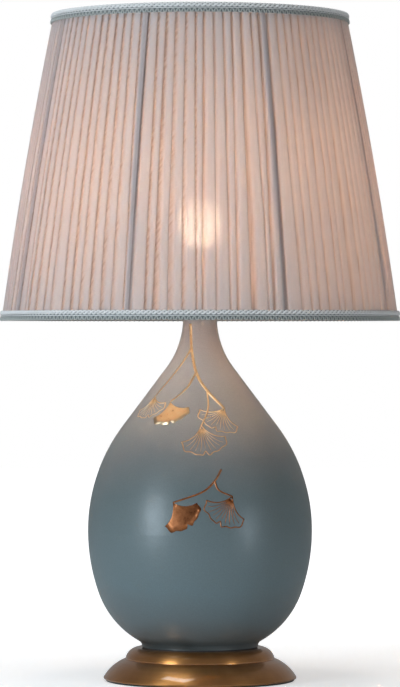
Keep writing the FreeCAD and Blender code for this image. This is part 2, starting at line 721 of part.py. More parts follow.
def make_socket():
    """Cap, insulator, screw shell, contact, terminal screws, liner and outer shell."""
    cap_top = f"({SADDLE_TOP} + socket_cap_height)"
    cap_inner = "(socket_cap_radius - socket_cap_wall)"
    collar_top = f"({SADDLE_TOP} + socket_collar_height)"
    dome_end = f"({SADDLE_TOP} + socket_cap_height * socket_dome_share)"
    dome = "(socket_cap_radius * socket_dome_share)"
    turned_piece(
        "socket_cap",
        [
            ("pipe_radius", SADDLE_TOP),
            ("socket_collar_radius", SADDLE_TOP),
            ("socket_collar_radius", f"{SADDLE_TOP} + socket_cap_wall"),
            ("socket_cap_radius", dome_end, f"{dome} + socket_cap_wall", "left"),
            ("socket_cap_radius", cap_top),
            (cap_inner, cap_top),
            (cap_inner, dome_end),
            ("socket_collar_radius - socket_cap_wall", f"{SADDLE_TOP} + 2 * socket_cap_wall", dome, "right"),
            ("socket_collar_radius - socket_cap_wall", collar_top),
            ("pipe_radius", collar_top),
        ],
    )
    insulator = turned_piece(
        "socket_insulator",
        [
            ("0", INSULATOR_BOTTOM),
            ("insulator_radius - insulator_chamfer", INSULATOR_BOTTOM),
            ("insulator_radius", f"{INSULATOR_BOTTOM} + insulator_chamfer"),
            ("insulator_radius", INSULATOR_TOP),
            ("0", INSULATOR_TOP),
        ],
    )
    radial_hole(insulator, "shaft_bore", "knob_shaft_radius + running_gap", "insulator_radius + cut_overrun")
    head_seat = "(insulator_radius - terminal_screw_head - terminal_screw_shank)"
    screw_axis = ("0", f"({INSULATOR_BOTTOM} + terminal_screw_height)")
    hole_end = f"({head_seat} - terminal_screw_depth - running_gap)"
    for side, sign in (("right", ""), ("left", "-")):
        outwards = side == "right"
        recess = new_sketch(insulator, f"{side}_recess_circle", "YZ_Plane", f"{sign}{head_seat}")
        draw_circle(recess, "terminal_screw_radius + running_gap", screw_axis)
        pocket(insulator, f"{side}_recess", recess, "insulator_radius", backwards=outwards)
        shank = new_sketch(insulator, f"{side}_shank_circle", "YZ_Plane", f"{sign}{hole_end}")
        draw_circle(shank, "terminal_screw_shank", screw_axis)
        pocket(insulator, f"{side}_screw_hole", shank, "insulator_radius", backwards=outwards)
    make_terminal_screws(head_seat, screw_axis)
    make_contact()
    turned_piece(
        "screw_shell",
        [
            ("contact_width", INSULATOR_TOP),
            ("screw_shell_radius", INSULATOR_TOP),
            ("screw_shell_radius", f"{INSULATOR_TOP} + screw_shell_height"),
            ("screw_shell_radius - screw_shell_wall", f"{INSULATOR_TOP} + screw_shell_height"),
            ("screw_shell_radius - screw_shell_wall", f"{INSULATOR_TOP} + screw_shell_wall"),
            ("contact_width", f"{INSULATOR_TOP} + screw_shell_wall"),
        ],
    )
    liner_bottom = f"({SHELL_BOTTOM} + layer_gap)"
    liner_top = f"({SHELL_TOP} - shell_bead)"
    liner = turned_piece("fibre_liner", ring_outline(LINER_INNER, LINER_OUTER, liner_bottom, liner_top))
    radial_hole(liner, "liner_hole", "knob_boss_radius + running_gap", "shell_radius + cut_overrun")
    bead_middle = f"({SHELL_TOP} - shell_bead)"
    shell = turned_piece(
        "socket_shell",
        [
            (SHELL_INNER, SHELL_BOTTOM),
            ("shell_radius", SHELL_BOTTOM),
            ("shell_radius", f"{bead_middle} - shell_bead"),
            ("shell_radius + shell_bead", bead_middle, "shell_bead", "left"),
            ("shell_radius", SHELL_TOP, "shell_bead", "left"),
            (SHELL_INNER, SHELL_TOP),
        ],
    )
    radial_hole(shell, "shell_hole", "knob_boss_radius + running_gap", "shell_radius + cut_overrun")


def make_terminal_screws(head_seat, screw_axis):
    """Two screws in one node, their heads in the insulator's side recesses."""
    heads = []
    for side, sign in (("right", 1), ("left", -1)):
        head = doc.addObject("Part::Cylinder", f"{side}_screw_head")
        head.setExpression("Radius", bound("terminal_screw_radius"))
        head.setExpression("Height", bound("terminal_screw_head"))
        head.setExpression("Placement.Base.x", bound(f"{sign} * {head_seat}"))
        shank = doc.addObject("Part::Cylinder", f"{side}_screw_shank")
        shank.setExpression("Radius", bound("terminal_screw_shank"))
        shank.setExpression("Height", bound("terminal_screw_depth + terminal_screw_head / 2"))
        reach = f"({head_seat} - terminal_screw_depth)"
        shank.setExpression("Placement.Base.x", bound(f"{sign} * {reach}"))
        for part in (head, shank):
            part.setExpression("Placement.Base.z", bound(screw_axis[1]))
            part.Placement.Rotation = FreeCAD.Rotation(FreeCAD.Vector(0, 1, 0), 90 * sign)
        screw = doc.addObject("Part::Fuse", f"{side}_screw")
        screw.Base = head
        screw.Tool = shank
        heads.append(screw)
    group = doc.addObject("Part::Compound", "terminal_screws")
    group.Links = heads
    group.Label = "terminal_screws"
    pieces.append(group)


def make_contact():
    """Springy brass tongue that rises from the insulator to the tip of the bulb."""
    body = new_piece("centre_contact")
    sketch = new_sketch(body, "tongue_side", "XZ_Plane")
    half = "(contact_width / 2)"
    rise_low = f"{INSULATOR_TOP} + contact_rise - contact_thickness"
    draw_outline(
        sketch,
        [
            (f"-{half}", INSULATOR_TOP),
            (f"{half} / 2", INSULATOR_TOP),
            (f"{half} / 2", f"{INSULATOR_TOP} + contact_thickness"),
            (f"-{half} / 2", f"{INSULATOR_TOP} + contact_thickness"),
            (f"{half} / 3", rise_low),
            (half, rise_low),
            (half, CONTACT_TOP),
            ("0", CONTACT_TOP),
            (f"-{half}", f"{INSULATOR_TOP} + 2 * contact_thickness"),
        ],
    )
    pad(body, "tongue", sketch, "contact_depth", both_ways=True)


def make_switch():
    """Shaft and paddle of the turn knob, in front of the socket."""
    front = "(shell_radius + running_gap)"
    shaft = new_piece("switch_shaft")
    circle = new_sketch(shaft, "shaft_circle", "XZ_Plane", "insulator_radius - knob_shaft_depth")
    draw_circle(circle, "knob_shaft_radius", ("0", KNOB_AXIS))
    shaft_length = f"{front} - insulator_radius + knob_shaft_depth"
    pad(shaft, "shaft", circle, shaft_length)
    knob = new_piece("switch_knob")
    boss = new_sketch(knob, "boss_circle", "XZ_Plane", front)
    draw_circle(boss, "knob_boss_radius", ("0", KNOB_AXIS))
    pad(knob, "boss", boss, "knob_boss_length")
    paddle = new_sketch(knob, "paddle_outline", "XY_Plane", f"{KNOB_AXIS} - knob_thickness / 2")
    root = f"-({front} + knob_boss_length / 2)"
    shoulder = f"-({front} + knob_boss_length)"
    tip = f"-({front} + knob_boss_length + knob_paddle_length - knob_half_width)"
    draw_outline(
        paddle,
        [
            ("-knob_boss_radius", root),
            ("-knob_half_width", shoulder),
            ("-knob_half_width", tip),
            ("0", f"{tip} - knob_half_width", "knob_half_width", "left"),
            ("knob_half_width", tip, "knob_half_width", "left"),
            ("knob_half_width", shoulder),
            ("knob_boss_radius", root),
        ],
    )
    pad(knob, "paddle", paddle, "knob_thickness")


# Bulb


def make_bulb():
    """Opal globe, screw cap, insulated tip contact and the stem inside."""
    globe_foot = f"({BULB_CAP_TOP} - bulb_cap_height / 4)"
    inner_neck = "(bulb_neck_radius - bulb_glass_wall)"
    inner_globe = "(bulb_radius - bulb_glass_wall)"
    meet = "(bulb_neck_radius * bulb_meet_share)"
    inner_meet = f"({meet} - bulb_glass_wall)"
    turned_piece(
        "bulb_glass",
        [
            (inner_neck, globe_foot),
            ("bulb_neck_radius", globe_foot),
            ("bulb_neck_radius", BULB_CAP_TOP),
            (meet, f"{BULB_MIDDLE} - sqrt(bulb_radius^2 - {meet}^2)"),
            ("bulb_radius", BULB_MIDDLE, "bulb_radius", "left"),
            ("0", BULB_TOP, "bulb_radius", "left"),
            ("0", f"{BULB_TOP} - bulb_glass_wall"),
            (inner_globe, BULB_MIDDLE, inner_globe, "right"),
            (inner_meet, f"{BULB_MIDDLE} - sqrt({inner_globe}^2 - {inner_meet}^2)", inner_globe, "right"),
            (inner_neck, BULB_CAP_TOP),
        ],
    )
    cap_inner = "(bulb_cap_radius - bulb_cap_wall)"
    turned_piece(
        "bulb_cap",
        [
            ("bulb_tip_radius", BULB_CAP_BOTTOM),
            ("bulb_cap_radius - bulb_tip_height / 2", BULB_CAP_BOTTOM),
            ("bulb_cap_radius", f"{BULB_CAP_BOTTOM} + bulb_tip_height / 2"),
            ("bulb_cap_radius", BULB_CAP_TOP),
            (cap_inner, BULB_CAP_TOP),
            (cap_inner, f"{BULB_CAP_BOTTOM} + bulb_tip_height / 2"),
            ("bulb_cap_radius - bulb_tip_height / 2", f"{BULB_CAP_BOTTOM} + bulb_cap_wall"),
            ("bulb_tip_radius", f"{BULB_CAP_BOTTOM} + bulb_cap_wall"),
        ],
    )
    turned_piece(
        "bulb_contact",
        [
            ("0", BULB_TIP),
            ("bulb_tip_radius / 2", BULB_TIP),
            ("bulb_tip_radius", f"{BULB_TIP} + bulb_tip_height / 3"),
            ("bulb_seat_radius", f"{BULB_CAP_BOTTOM} - bulb_cap_wall"),
            ("bulb_seat_radius", BULB_CAP_BOTTOM),
            ("0", BULB_CAP_BOTTOM),
        ],
    )
    stem_top = f"({globe_foot} + bulb_stem_height)"
    flare_top = f"{globe_foot} + bulb_stem_radius"
    flare_arc = "bulb_stem_radius * bulb_stem_flare_share"
    turned_piece(
        "bulb_stem",
        [
            ("0", globe_foot),
            (f"{inner_neck} - layer_gap", globe_foot),
            (f"{inner_neck} - layer_gap", f"{globe_foot} + bulb_glass_wall"),
            ("bulb_stem_radius", flare_top, flare_arc, "right"),
            ("bulb_stem_radius * bulb_stem_tip_share", stem_top),
            ("0", stem_top),
        ],
    )


# Shade


def shade_radius_at(height):
    """Outer radius of the cloth at a height: the straight taper plus its shallow bulge."""
    low = value("shade_bottom_height")
    high = value("shade_top_height")
    share = (height - low) / (high - low)
    taper = value("shade_bottom_radius") * (1 - share) + value("shade_top_radius") * share
    return taper + 4 * value("shade_bulge") * share * (1 - share)


def pleated_wire(height, inset):
    """One level ring of the cloth: an arc for each pleat, meeting in narrow folds."""
    low = value("shade_bottom_height")
    high = value("shade_top_height")
    share = (height - low) / (high - low)
    depth = value("pleat_depth_bottom") * (1 - share) + value("pleat_depth_top") * share
    ridge = shade_radius_at(height) - inset
    valley = ridge - depth
    half_turn = math.pi / PLEATS
    arcs = []
    for pleat in range(PLEATS):
        middle = 2 * half_turn * pleat
        places = []
        for turn, radius in ((-half_turn, valley), (0, ridge), (half_turn, valley)):
            x = radius * math.sin(middle + turn)
            y = -radius * math.cos(middle + turn)
            places.append(FreeCAD.Vector(x, y, height))
        arcs.append(Part.Arc(*places).toShape())
    return Part.Wire(arcs)


def make_pleats():
    """The pleated cloth: a thin fluted wall through level rings, ruled from ring to ring."""
    thickness = value("cloth_thickness")
    low = value("shade_bottom_height + running_gap")
    high = value("shade_top_height - running_gap")
    heights = [low, (low + high) / 2, high]
    outer = [pleated_wire(height, 0) for height in heights]
    inner = [pleated_wire(height, thickness) for height in heights]
    faces = Part.makeLoft(outer, False, True).Faces + Part.makeLoft(inner, False, True).Faces
    for level in (0, -1):
        faces.append(Part.makeFace([outer[level], inner[level]], "Part::FaceMakerBullseye"))
    shell = Part.makeShell(faces)
    shell.sewShape()
    solid = Part.makeSolid(shell)
    if solid.Volume < 0:
        solid.reverse()
    cloth = doc.addObject("Part::Feature", "shade_pleats")
    cloth.Shape = solid
    cloth.Label = "shade_pleats"
    pieces.append(cloth)


def cover_radius(height, inset):
    """The formula of the cloth's radius at a height, set in by an inset."""
    share = f"(({height} - shade_bottom_height) / (shade_top_height - shade_bottom_height))"
    taper = f"shade_bottom_radius * (1 - {share}) + shade_top_radius * {share}"
    return f"({taper} + 4 * shade_bulge * {share} * (1 - {share}) - {inset})"


COVER_ARC = (
    "(((shade_bottom_radius - shade_top_radius)^2 + (shade_top_height - shade_bottom_height)^2)"
    " / (8 * shade_bulge))"
)
TOP_RING_HEIGHT = "(shade_top_height - ring_inset)"
BOTTOM_RING_HEIGHT = "(shade_bottom_height + ring_inset)"


def make_frame():
    """Top and bottom rings with the ribs between them."""
    for name, height in (("top_ring", TOP_RING_HEIGHT), ("bottom_ring", BOTTOM_RING_HEIGHT)):
        ring = doc.addObject("Part::Torus", name)
        ring.setExpression("Radius1", bound(cover_radius(height, RIB_INSET)))
        ring.setExpression("Radius2", bound("ring_radius"))
        ring.setExpression("Placement.Base.z", bound(height))
        ring.Label = name
        pieces.append(ring)
    rib_low = f"({BOTTOM_RING_HEIGHT} + ring_radius + slot_gap)"
    rib_high = f"({TOP_RING_HEIGHT} - ring_radius - slot_gap)"
    ribs = new_piece("frame_ribs")
    ribs.AllowCompound = True
    section = new_sketch(ribs, "rib_circle", "XY_Plane", rib_low)
    draw_circle(section, "rib_radius", (cover_radius(rib_low, RIB_INSET), "0"))
    path = new_sketch(ribs, "rib_path", "XZ_Plane")
    top = (cover_radius(rib_high, RIB_INSET), rib_high, COVER_ARC, "left")
    draw_outline(path, [(cover_radius(rib_low, RIB_INSET), rib_low), top], closed=False)
    rib = ribs.newObject("PartDesign::AdditivePipe", "rib")
    rib.Profile = section
    rib.Spine = (path, ["Edge1"])
    polar_copies(ribs, "rib_copies", rib, RIBS)
    ribs.Placement.Rotation = FreeCAD.Rotation(FreeCAD.Vector(0, 0, 1), FIRST_RIB_TURN - 90)


def make_lining():
    """Smooth inner lining, from the lower edge to just below the arms that reach the top ring."""
    low = "(shade_bottom_height + running_gap)"
    high = f"({TOP_RING_HEIGHT} - ring_radius - spider_arm_radius)"
    back = f"({LINING_INSET} + lining_thickness)"
    turned_piece(
        "shade_lining",
        [
            (cover_radius(low, LINING_INSET), low),
            (cover_radius(high, LINING_INSET), high, COVER_ARC, "left"),
            (cover_radius(high, back), high),
            (cover_radius(low, back), low, COVER_ARC, "right"),
        ],
    )


def make_trim(name, low, high):
    """Edging outside the cloth: a round braid below a narrower row of loops, on a thin tape."""
    middle = f"({low} + ({high} - {low}) * trim_braid_share)"
    face = "(-(slot_gap + trim_backing))"
    braid_arc = f"({middle} - {low}) * trim_roundness_share"
    loops_arc = f"({high} - {middle}) * trim_roundness_share"
    turned_piece(
        name,
        [
            (cover_radius(low, "(-slot_gap)"), low),
            (cover_radius(low, face), low),
            (cover_radius(middle, face), middle, braid_arc, "left"),
            (cover_radius(high, face), high, loops_arc, "left"),
            (cover_radius(high, "(-slot_gap)"), high),
        ],
    )


def make_spider():
    """Hub washer with three arms that rise to the top ring."""
    body = new_piece("shade_spider")
    hole = "(stud_radius + running_gap)"
    turn_outline(body, "hub", ring_outline(hole, "spider_hub_radius", HUB_UNDERSIDE, HUB_TOP))
    root = ("spider_arm_root", f"{HUB_UNDERSIDE} + spider_hub_thickness / 2")
    ring_x = cover_radius(TOP_RING_HEIGHT, RIB_INSET)
    run = f"({ring_x} - {root[0]})"
    climb = f"({TOP_RING_HEIGHT} - {root[1]})"
    length = f"sqrt({run}^2 + {climb}^2)"
    stop = "(ring_radius + slot_gap)"
    tip = (f"{ring_x} - {stop} * {run} / {length}", f"{TOP_RING_HEIGHT} - {stop} * {climb} / {length}")
    blade = new_sketch(body, "arm_side", "XZ_Plane")
    thick_x = f"(spider_arm_radius * {climb} / {length})"
    thick_z = f"(spider_arm_radius * {run} / {length})"
    draw_outline(
        blade,
        [
            (f"{root[0]} + {thick_x}", f"{root[1]} - {thick_z}"),
            (f"{tip[0]} + {thick_x}", f"{tip[1]} - {thick_z}"),
            tip,
            root,
        ],
    )
    arm = body.newObject("PartDesign::Revolution", "arm")
    arm.Profile = blade
    arm.ReferenceAxis = (blade, ["Edge4"])
    arm.Angle = 360
    polar_copies(body, "arms", arm, SPIDER_ARMS)
    body.Placement.Rotation = FreeCAD.Rotation(FreeCAD.Vector(0, 0, 1), FIRST_ARM_TURN)


def make_finial():
    """Turned brass finial with a blind bore for the harp's stud."""
    bore = "(stud_radius + running_gap)"
    bore_top = f"({FINIAL_BOTTOM} + finial_bore_depth)"
    top = f"({FINIAL_BOTTOM} + finial_height)"
    base_top = f"({FINIAL_BOTTOM} + finial_base_height)"
    waist = f"({FINIAL_BOTTOM} + finial_waist_height)"
    ball_middle = f"({top} - finial_radius)"
    ball_foot = f"{ball_middle} - sqrt(finial_radius^2 - finial_neck_radius^2)"
    turned_piece(
        "finial",
        [
            (bore, FINIAL_BOTTOM),
            ("finial_base_radius", FINIAL_BOTTOM),
            ("finial_base_radius", base_top),
            ("finial_neck_radius", waist),
            ("finial_neck_radius", ball_foot),
            ("finial_radius", ball_middle, "finial_radius", "left"),
            ("0", top, "finial_radius", "left"),
            ("0", f"{bore_top} + stud_radius / 2"),
            (bore, bore_top),
        ],
    )


make_base()
make_porcelain()
make_saddle()
make_harp()
make_sleeve("harp_sleeve_left", "-")
make_sleeve("harp_sleeve_right", "")
make_socket()
make_switch()
make_bulb()
make_pleats()
make_frame()
make_lining()
make_trim("bottom_trim", "shade_bottom_height", TRIM_BOTTOM_HIGH)
make_trim("top_trim", TRIM_TOP_LOW, "shade_top_height")
make_spider()
make_finial()

doc.recompute()
for item in doc.Objects:
    if "Invalid" in item.State or "Error" in item.State:
        raise RuntimeError(f"{item.Name} did not build: {item.State}")
for piece in pieces:
    if piece.Shape.isNull() or not piece.Shape.isValid():
        raise RuntimeError(f"{piece.Label} has no valid shape")

os.makedirs("parts", exist_ok=True)
for piece in pieces:
    piece.Shape.exportStep(f"parts/{piece.Label}.step")
    print(piece.Label, len(piece.Shape.Solids), round(piece.Shape.Volume))
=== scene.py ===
# Porcelain table lamp: the looks of its pieces, in metres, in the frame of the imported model.
import math

import bpy
import numpy as np
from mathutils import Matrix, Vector
from mathutils.bvhtree import BVHTree


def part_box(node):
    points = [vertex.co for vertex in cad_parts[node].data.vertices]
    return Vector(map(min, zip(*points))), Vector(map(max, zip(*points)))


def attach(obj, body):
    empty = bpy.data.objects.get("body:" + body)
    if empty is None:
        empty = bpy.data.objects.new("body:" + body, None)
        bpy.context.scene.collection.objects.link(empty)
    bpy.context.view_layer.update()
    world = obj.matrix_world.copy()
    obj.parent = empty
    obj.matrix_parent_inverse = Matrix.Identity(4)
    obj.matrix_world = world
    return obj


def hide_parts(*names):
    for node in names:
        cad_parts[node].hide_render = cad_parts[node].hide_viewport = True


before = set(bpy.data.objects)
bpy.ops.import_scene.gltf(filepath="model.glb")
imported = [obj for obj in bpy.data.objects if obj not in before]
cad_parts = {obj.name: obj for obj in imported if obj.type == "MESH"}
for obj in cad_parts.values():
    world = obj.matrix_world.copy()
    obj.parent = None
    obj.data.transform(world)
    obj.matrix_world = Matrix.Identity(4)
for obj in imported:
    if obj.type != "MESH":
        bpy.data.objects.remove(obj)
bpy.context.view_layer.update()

MM = 0.001
TURN = 2 * math.pi
TINY = 1e-9

# Shade: outer radius of the cloth at its lower and upper edge, its bulge between them, and its pleats.
SHADE_LOW_RADIUS = 198.2 * MM
SHADE_HIGH_RADIUS = 146.5 * MM
SHADE_BULGE = 2.4 * MM
SHADE_LOW, SHADE_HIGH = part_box("shade_pleats")[0].z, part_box("shade_pleats")[1].z
PLEATS = 104
RIBS = 8
FIRST_RIB_TURN = math.radians(-20.5)
PLEAT_DEPTH_LOW = 1.4 * MM
PLEAT_DEPTH_HIGH = 1.9 * MM
FIRST_PLEAT_SHARE = 0.4
CLOTH_THICKNESS = 0.4 * MM
CLOTH_ROWS = 44
# Share of a sheer cloth that is open, at each of its two faces.
CLEAR_SHARE = 0.25
# Band over each rib that gets the rib's painted shadow, and the crease beside each rib, dented in and given
# painted shade.
RIB_SHADOW_HALF_WIDTH = 2.5 * MM
RIB_SHADOW_SOFTNESS = 2.2 * MM
CREASE_OFFSET = 3.0 * MM
CREASE_WIDTH = 0.8 * MM
CREASE_DEPTH = 0.9 * MM
# How far along a pleat each fold lies, and how deep there, as shares of its pitch and depth; the depth also
# sets how much painted shade the cloth gets there.
FOLD_PLACE_SHARES = (0.0, 0.04, 0.14, 0.23, 0.3, 0.37, 0.48, 0.68, 0.86, 0.955, 0.985, 0.972)
FOLD_DEPTH_SHARES = (1.0, 0.96, 0.88, 0.72, 0.4, 0.12, 0.0, 0.02, 0.08, 0.22, 0.5, 0.82)
# How strong the painted shade in the fold of the shallowest pleat is beside the deepest one's.
SHALLOW_FOLD_SHARE = 0.55

# Unevenness of the pleats, as shares of a pitch or a depth: the range that each pleat's value is drawn from,
# the part of it that shows where the cloth is held, and what more shows where it hangs loose.
PLEAT_SEED = 11
LOOSE_POWER = 1.2
STRAY_SHARES = ((-0.32, 0.32), 0.25, 0.9)
WARP_SHARES = ((-0.25, 0.45), 0.3, 0.8)
DEPTH_SPREAD_SHARES = ((-0.35, 0.35), 0.5, 0.7)
DRIFT_SHARE, DRIFT_HELD_SHARE = 0.06, 0.3
DRIFT_KNOTS = 4

# Lining inside the ribs, drawn slightly flat between them.
LINING_INSET = 7.2 * MM
LINING_THICKNESS = 0.6 * MM
LINING_SLACK = 0.4 * MM
LINING_COLUMNS, LINING_ROWS = 192, 20

# Braid at the two edges of the shade: how far it hangs below its solid, its tape and its strands' paths.
BRAID_DROPS = {"bottom_trim": 0.8 * MM, "top_trim": -1.6 * MM}
TRIM_HEIGHT = 10 * MM
TAPE_MARGIN = 0.4 * MM
TAPE_REACHES = (0.6 * MM, 0.1 * MM)
TAPE_COLUMNS, TAPE_ROWS = 208, 5
STRAND_SIDES = 6
STRAND_LIFT = 1.35 * MM
TWIST_DEPTH = 0.6 * MM
LOOP_DEPTH = 0.35 * MM
LOOP_LEAN = 0.55 * MM

# Gold sprigs: heights of the body that they may lie on, and the forms of leaves and strokes.
BODY_LOW, BODY_HIGH = 60 * MM, 360 * MM
BODY_SAMPLES = 160
OUTSIDE = 0.3
GILT_LIFT = 0.14 * MM
STROKE = 1.1 * MM
STEM_TAPER_SHARE = 0.7
STEM_STEPS = 8
LEAF_HALF_ANGLE = math.radians(54)
LEAF_WAVES = ((0.035, 9, 0.0), (0.025, 17, 0.6))
LEAF_ROUNDING_SHARE = 0.16
NOTCH_DEPTH_SHARE, NOTCH_WIDTH_SHARE = 0.2, 0.07
SOLID_STEPS, EDGE_STEPS, SIDE_STEPS = 16, 28, 8
VEINS_EACH_SIDE = 4
VEIN_STEPS = 6
VEIN_START_SHARE, VEIN_LENGTH_SHARE = 0.12, 0.78
VEIN_WIDTH_SHARE, VEIN_TAPER_SHARE = 0.75, 0.06

# Thread on the harp's stud: radius at half its depth, pitch, depth each way, and where it starts and ends
# below the stud's top.
THREAD_RADIUS = 3.15 * MM
THREAD_PITCH = 0.94 * MM
THREAD_OUT, THREAD_IN = 0.32 * MM, 0.3 * MM
THREAD_HALF_SHARE = 0.4
THREAD_START, THREAD_END = 12.4 * MM, 1.2 * MM
THREAD_STEPS = 20

# Strength of the light from glass and core, and how strong the camera sees both through the cloth.
GLASS_GLOW = 65.0
CORE_GLOW = 1330.0
SEEN_GLOW = 70.0
GLASS_CLEAR_SHARE = 0.6

# Studio: the world's strength before and behind the lamp, the same as gloss reflects it, and the lights, each
# with its place, what it's aimed at, its size and its power in watts.
FRONT_LIGHT, BACK_LIGHT = 0.31, 0.08
FRONT_SHEEN, BACK_SHEEN = 0.17, 0.24
BACK_SHARE = 0.9
DAYLIGHT = (0.84, 0.98, 1.1)
LIGHTS = (
    ("key", (-1.7, -1.6, 0.5), (0, 0, 0.35), (0.6, 0.85), 24),
    ("fill", (1.5, -1.3, 0.16), (0, 0, 0.16), (0.3, 0.5), 5),
    ("top", (-0.75, -0.6, 2.4), (0, 0, 0.3), (1.1, 0.7), 13),
)
FLOOR_RADIUS = 6.0
FLOOR_SIDES = 64
FLOOR_DROP = 0.2 * MM
# Where the floor's own white sets in and is full, and its strength at each.
FLOOR_FADE = (0.15, 1.2, 0.5, 1.0)
CAMERA_DISTANCE = 3.8
CAMERA_HEIGHT = 0.345
SENSOR_HEIGHT = 24
PICTURE_MIDDLE = 0.3365
FRAME_PIXELS_HIGH = 687


class Finish:
    """A Principled material, and short calls that add nodes to it."""

    def __init__(self, name, **sockets):
        self.material = bpy.data.materials.new(name)
        self.material.use_nodes = True
        self.tree = self.material.node_tree
        self.shader = self.tree.nodes["Principled BSDF"]
        self.output = self.tree.nodes["Material Output"]
        for socket, setting in sockets.items():
            self.shader.inputs[socket.replace("_", " ")].default_value = setting

    def add(self, kind, inputs=(), **settings):
        """Adds a node with its settings, and fills or links its inputs."""
        node = self.tree.nodes.new(f"ShaderNode{kind}")
        for setting, choice in settings.items():
            setattr(node, setting, choice)
        for socket, source in dict(inputs).items():
            if isinstance(source, bpy.types.NodeSocket):
                self.tree.links.new(source, node.inputs[socket])
            else:
                node.inputs[socket].default_value = source
        return node

    def feed(self, socket, source):
        """Links a node's output to a socket of the Principled shader."""
        self.tree.links.new(source, self.shader.inputs[socket])

    def place(self, stretch=(1, 1, 1)):
        """Where a point lies on the object, in metres, stretched along each axis."""
        where = self.add("TexCoord").outputs["Object"]
        return self.add("Mapping", {"Vector": where, "Scale": stretch}).outputs[0]

    def cloth_place(self, stretch=(1, 1, 1)):
        """Where a point lies on the flat cloth, in metres, stretched along each axis."""
        where = self.add("UVMap").outputs[0]
        return self.add("Mapping", {"Vector": where, "Scale": stretch}).outputs[0]

    def noise(self, vector, scale, detail=3.0, roughness=0.5):
        """A noise over the given places."""
        sockets = {"Vector": vector, "Scale": scale, "Detail": detail, "Roughness": roughness}
        return self.add("TexNoise", sockets).outputs["Fac"]

    def height(self):
        """The height of a point, in metres."""
        return self.add("SeparateXYZ", {"Vector": self.add("TexCoord").outputs["Object"]}).outputs["Z"]

    def radius(self):
        """The distance of a point from the lamp's axis, in metres."""
        level = self.place((1, 1, 0))
        return self.add("VectorMath", {0: level}, operation="LENGTH").outputs["Value"]

    def sum(self, first, second, operation="ADD"):
        """The sum of two values, or what another operation makes of them."""
        return self.add("Math", {0: first, 1: second}, operation=operation).outputs[0]

    def spread(self, source, low, high, to_low=0.0, to_high=1.0):
        """Maps a range of values to another."""
        sockets = {"Value": source, "From Min": low, "From Max": high, "To Min": to_low, "To Max": to_high}
        return self.add("MapRange", sockets).outputs[0]

    def ramp(self, factor, stops):
        """A colour ramp through stops of (place, colour)."""
        node = self.add("ValToRGB", {"Fac": factor})
        elements = node.color_ramp.elements
        while len(elements) < len(stops):
            elements.new(0.5)
        for element, (spot, colour) in zip(elements, stops):
            element.position = spot
            element.color = (*colour, 1)
        return node.outputs["Color"]

    def tone(self, source, dark, light, low=0.3, high=0.7):
        """A tone from dark to light, as a noise runs from a low to a high value."""
        return self.ramp(self.spread(source, low, high), [(0.0, dark), (1.0, light)])

    def weave(self, scale):
        """The relief of threads that cross along and across the flat cloth."""
        threads = [
            self.add("TexWave", {"Vector": self.cloth_place(), "Scale": scale}, bands_direction=axis)
            for axis in ("X", "Y")
        ]
        return self.sum(threads[0].outputs["Fac"], threads[1].outputs["Fac"])

    def bump(self, height, distance, strength=1.0):
        """Adds a relief, over any that the shader has."""
        sockets = {"Height": height, "Distance": distance, "Strength": strength}
        normal = self.shader.inputs["Normal"]
        if normal.is_linked:
            sockets["Normal"] = normal.links[0].from_socket
        self.feed("Normal", self.add("Bump", sockets).outputs[0])

    def show_mix(self, share, first, second):
        """Shows a mix of two shaders, with a share of the second, and returns it."""
        mixed = self.add("MixShader", {0: share, 1: first, 2: second}).outputs[0]
        self.tree.links.new(mixed, self.output.inputs["Surface"])
        return mixed

    def let_light_through(self, colour, share):
        """Mixes in a Translucent shader, so that a lamp behind the cloth shows."""
        through = self.add("BsdfTranslucent", {"Color": colour})
        if self.shader.inputs["Normal"].is_linked:
            normal = self.shader.inputs["Normal"].links[0].from_socket
            self.tree.links.new(normal, through.inputs["Normal"])
        self.show_mix(share, self.shader.outputs[0], through.outputs[0])

    def let_sight_through(self, share):
        """Mixes in a clear shader for the open weave of a sheer cloth."""
        surface = self.output.inputs["Surface"].links[0].from_socket
        clear = self.add("BsdfTransparent")
        self.show_mix(share, surface, clear.outputs[0])


# Finishes


def glaze_finish():
    """Satin glaze: warm grey at the neck that turns slate teal below, with fine specks, and painted shade at
    the foot.
    """
    finish = Finish("satin_glaze", Roughness=0.36, IOR=1.5)
    height = finish.height()
    drift = finish.noise(finish.place(), 14.0, 2.0)
    level = finish.sum(height, finish.spread(drift, 0.3, 0.7, -0.008, 0.008))
    share = finish.spread(level, 0.03, 0.36)
    colour = finish.ramp(
        share,
        [
            # The darkest stop is painted shade, where the body turns under into the base's seat.
            (0.01, (0.05, 0.06, 0.06)),
            (0.05, (0.13, 0.153, 0.158)),
            (0.2, (0.135, 0.188, 0.203)),
            (0.48, (0.14, 0.178, 0.183)),
            (0.6, (0.21, 0.22, 0.217)),
            (0.7, (0.33, 0.325, 0.31)),
            (0.82, (0.41, 0.4, 0.39)),
            (1.0, (0.42, 0.37, 0.35)),
        ],
    )
    specks = finish.noise(finish.place(), 900.0, 1.0)
    tint = finish.spread(specks, 0.3, 0.75, 0.94, 1.05)
    tinted = finish.add("VectorMath", {0: colour, 1: tint}, operation="MULTIPLY")
    finish.feed("Base Color", tinted.outputs[0])
    finish.bump(finish.noise(finish.place(), 260.0, 2.0), 0.12 * MM)
    cloudy = finish.noise(finish.place(), 30.0, 3.0)
    finish.feed("Roughness", finish.spread(cloudy, 0.3, 0.7, 0.33, 0.4))
    return finish.material


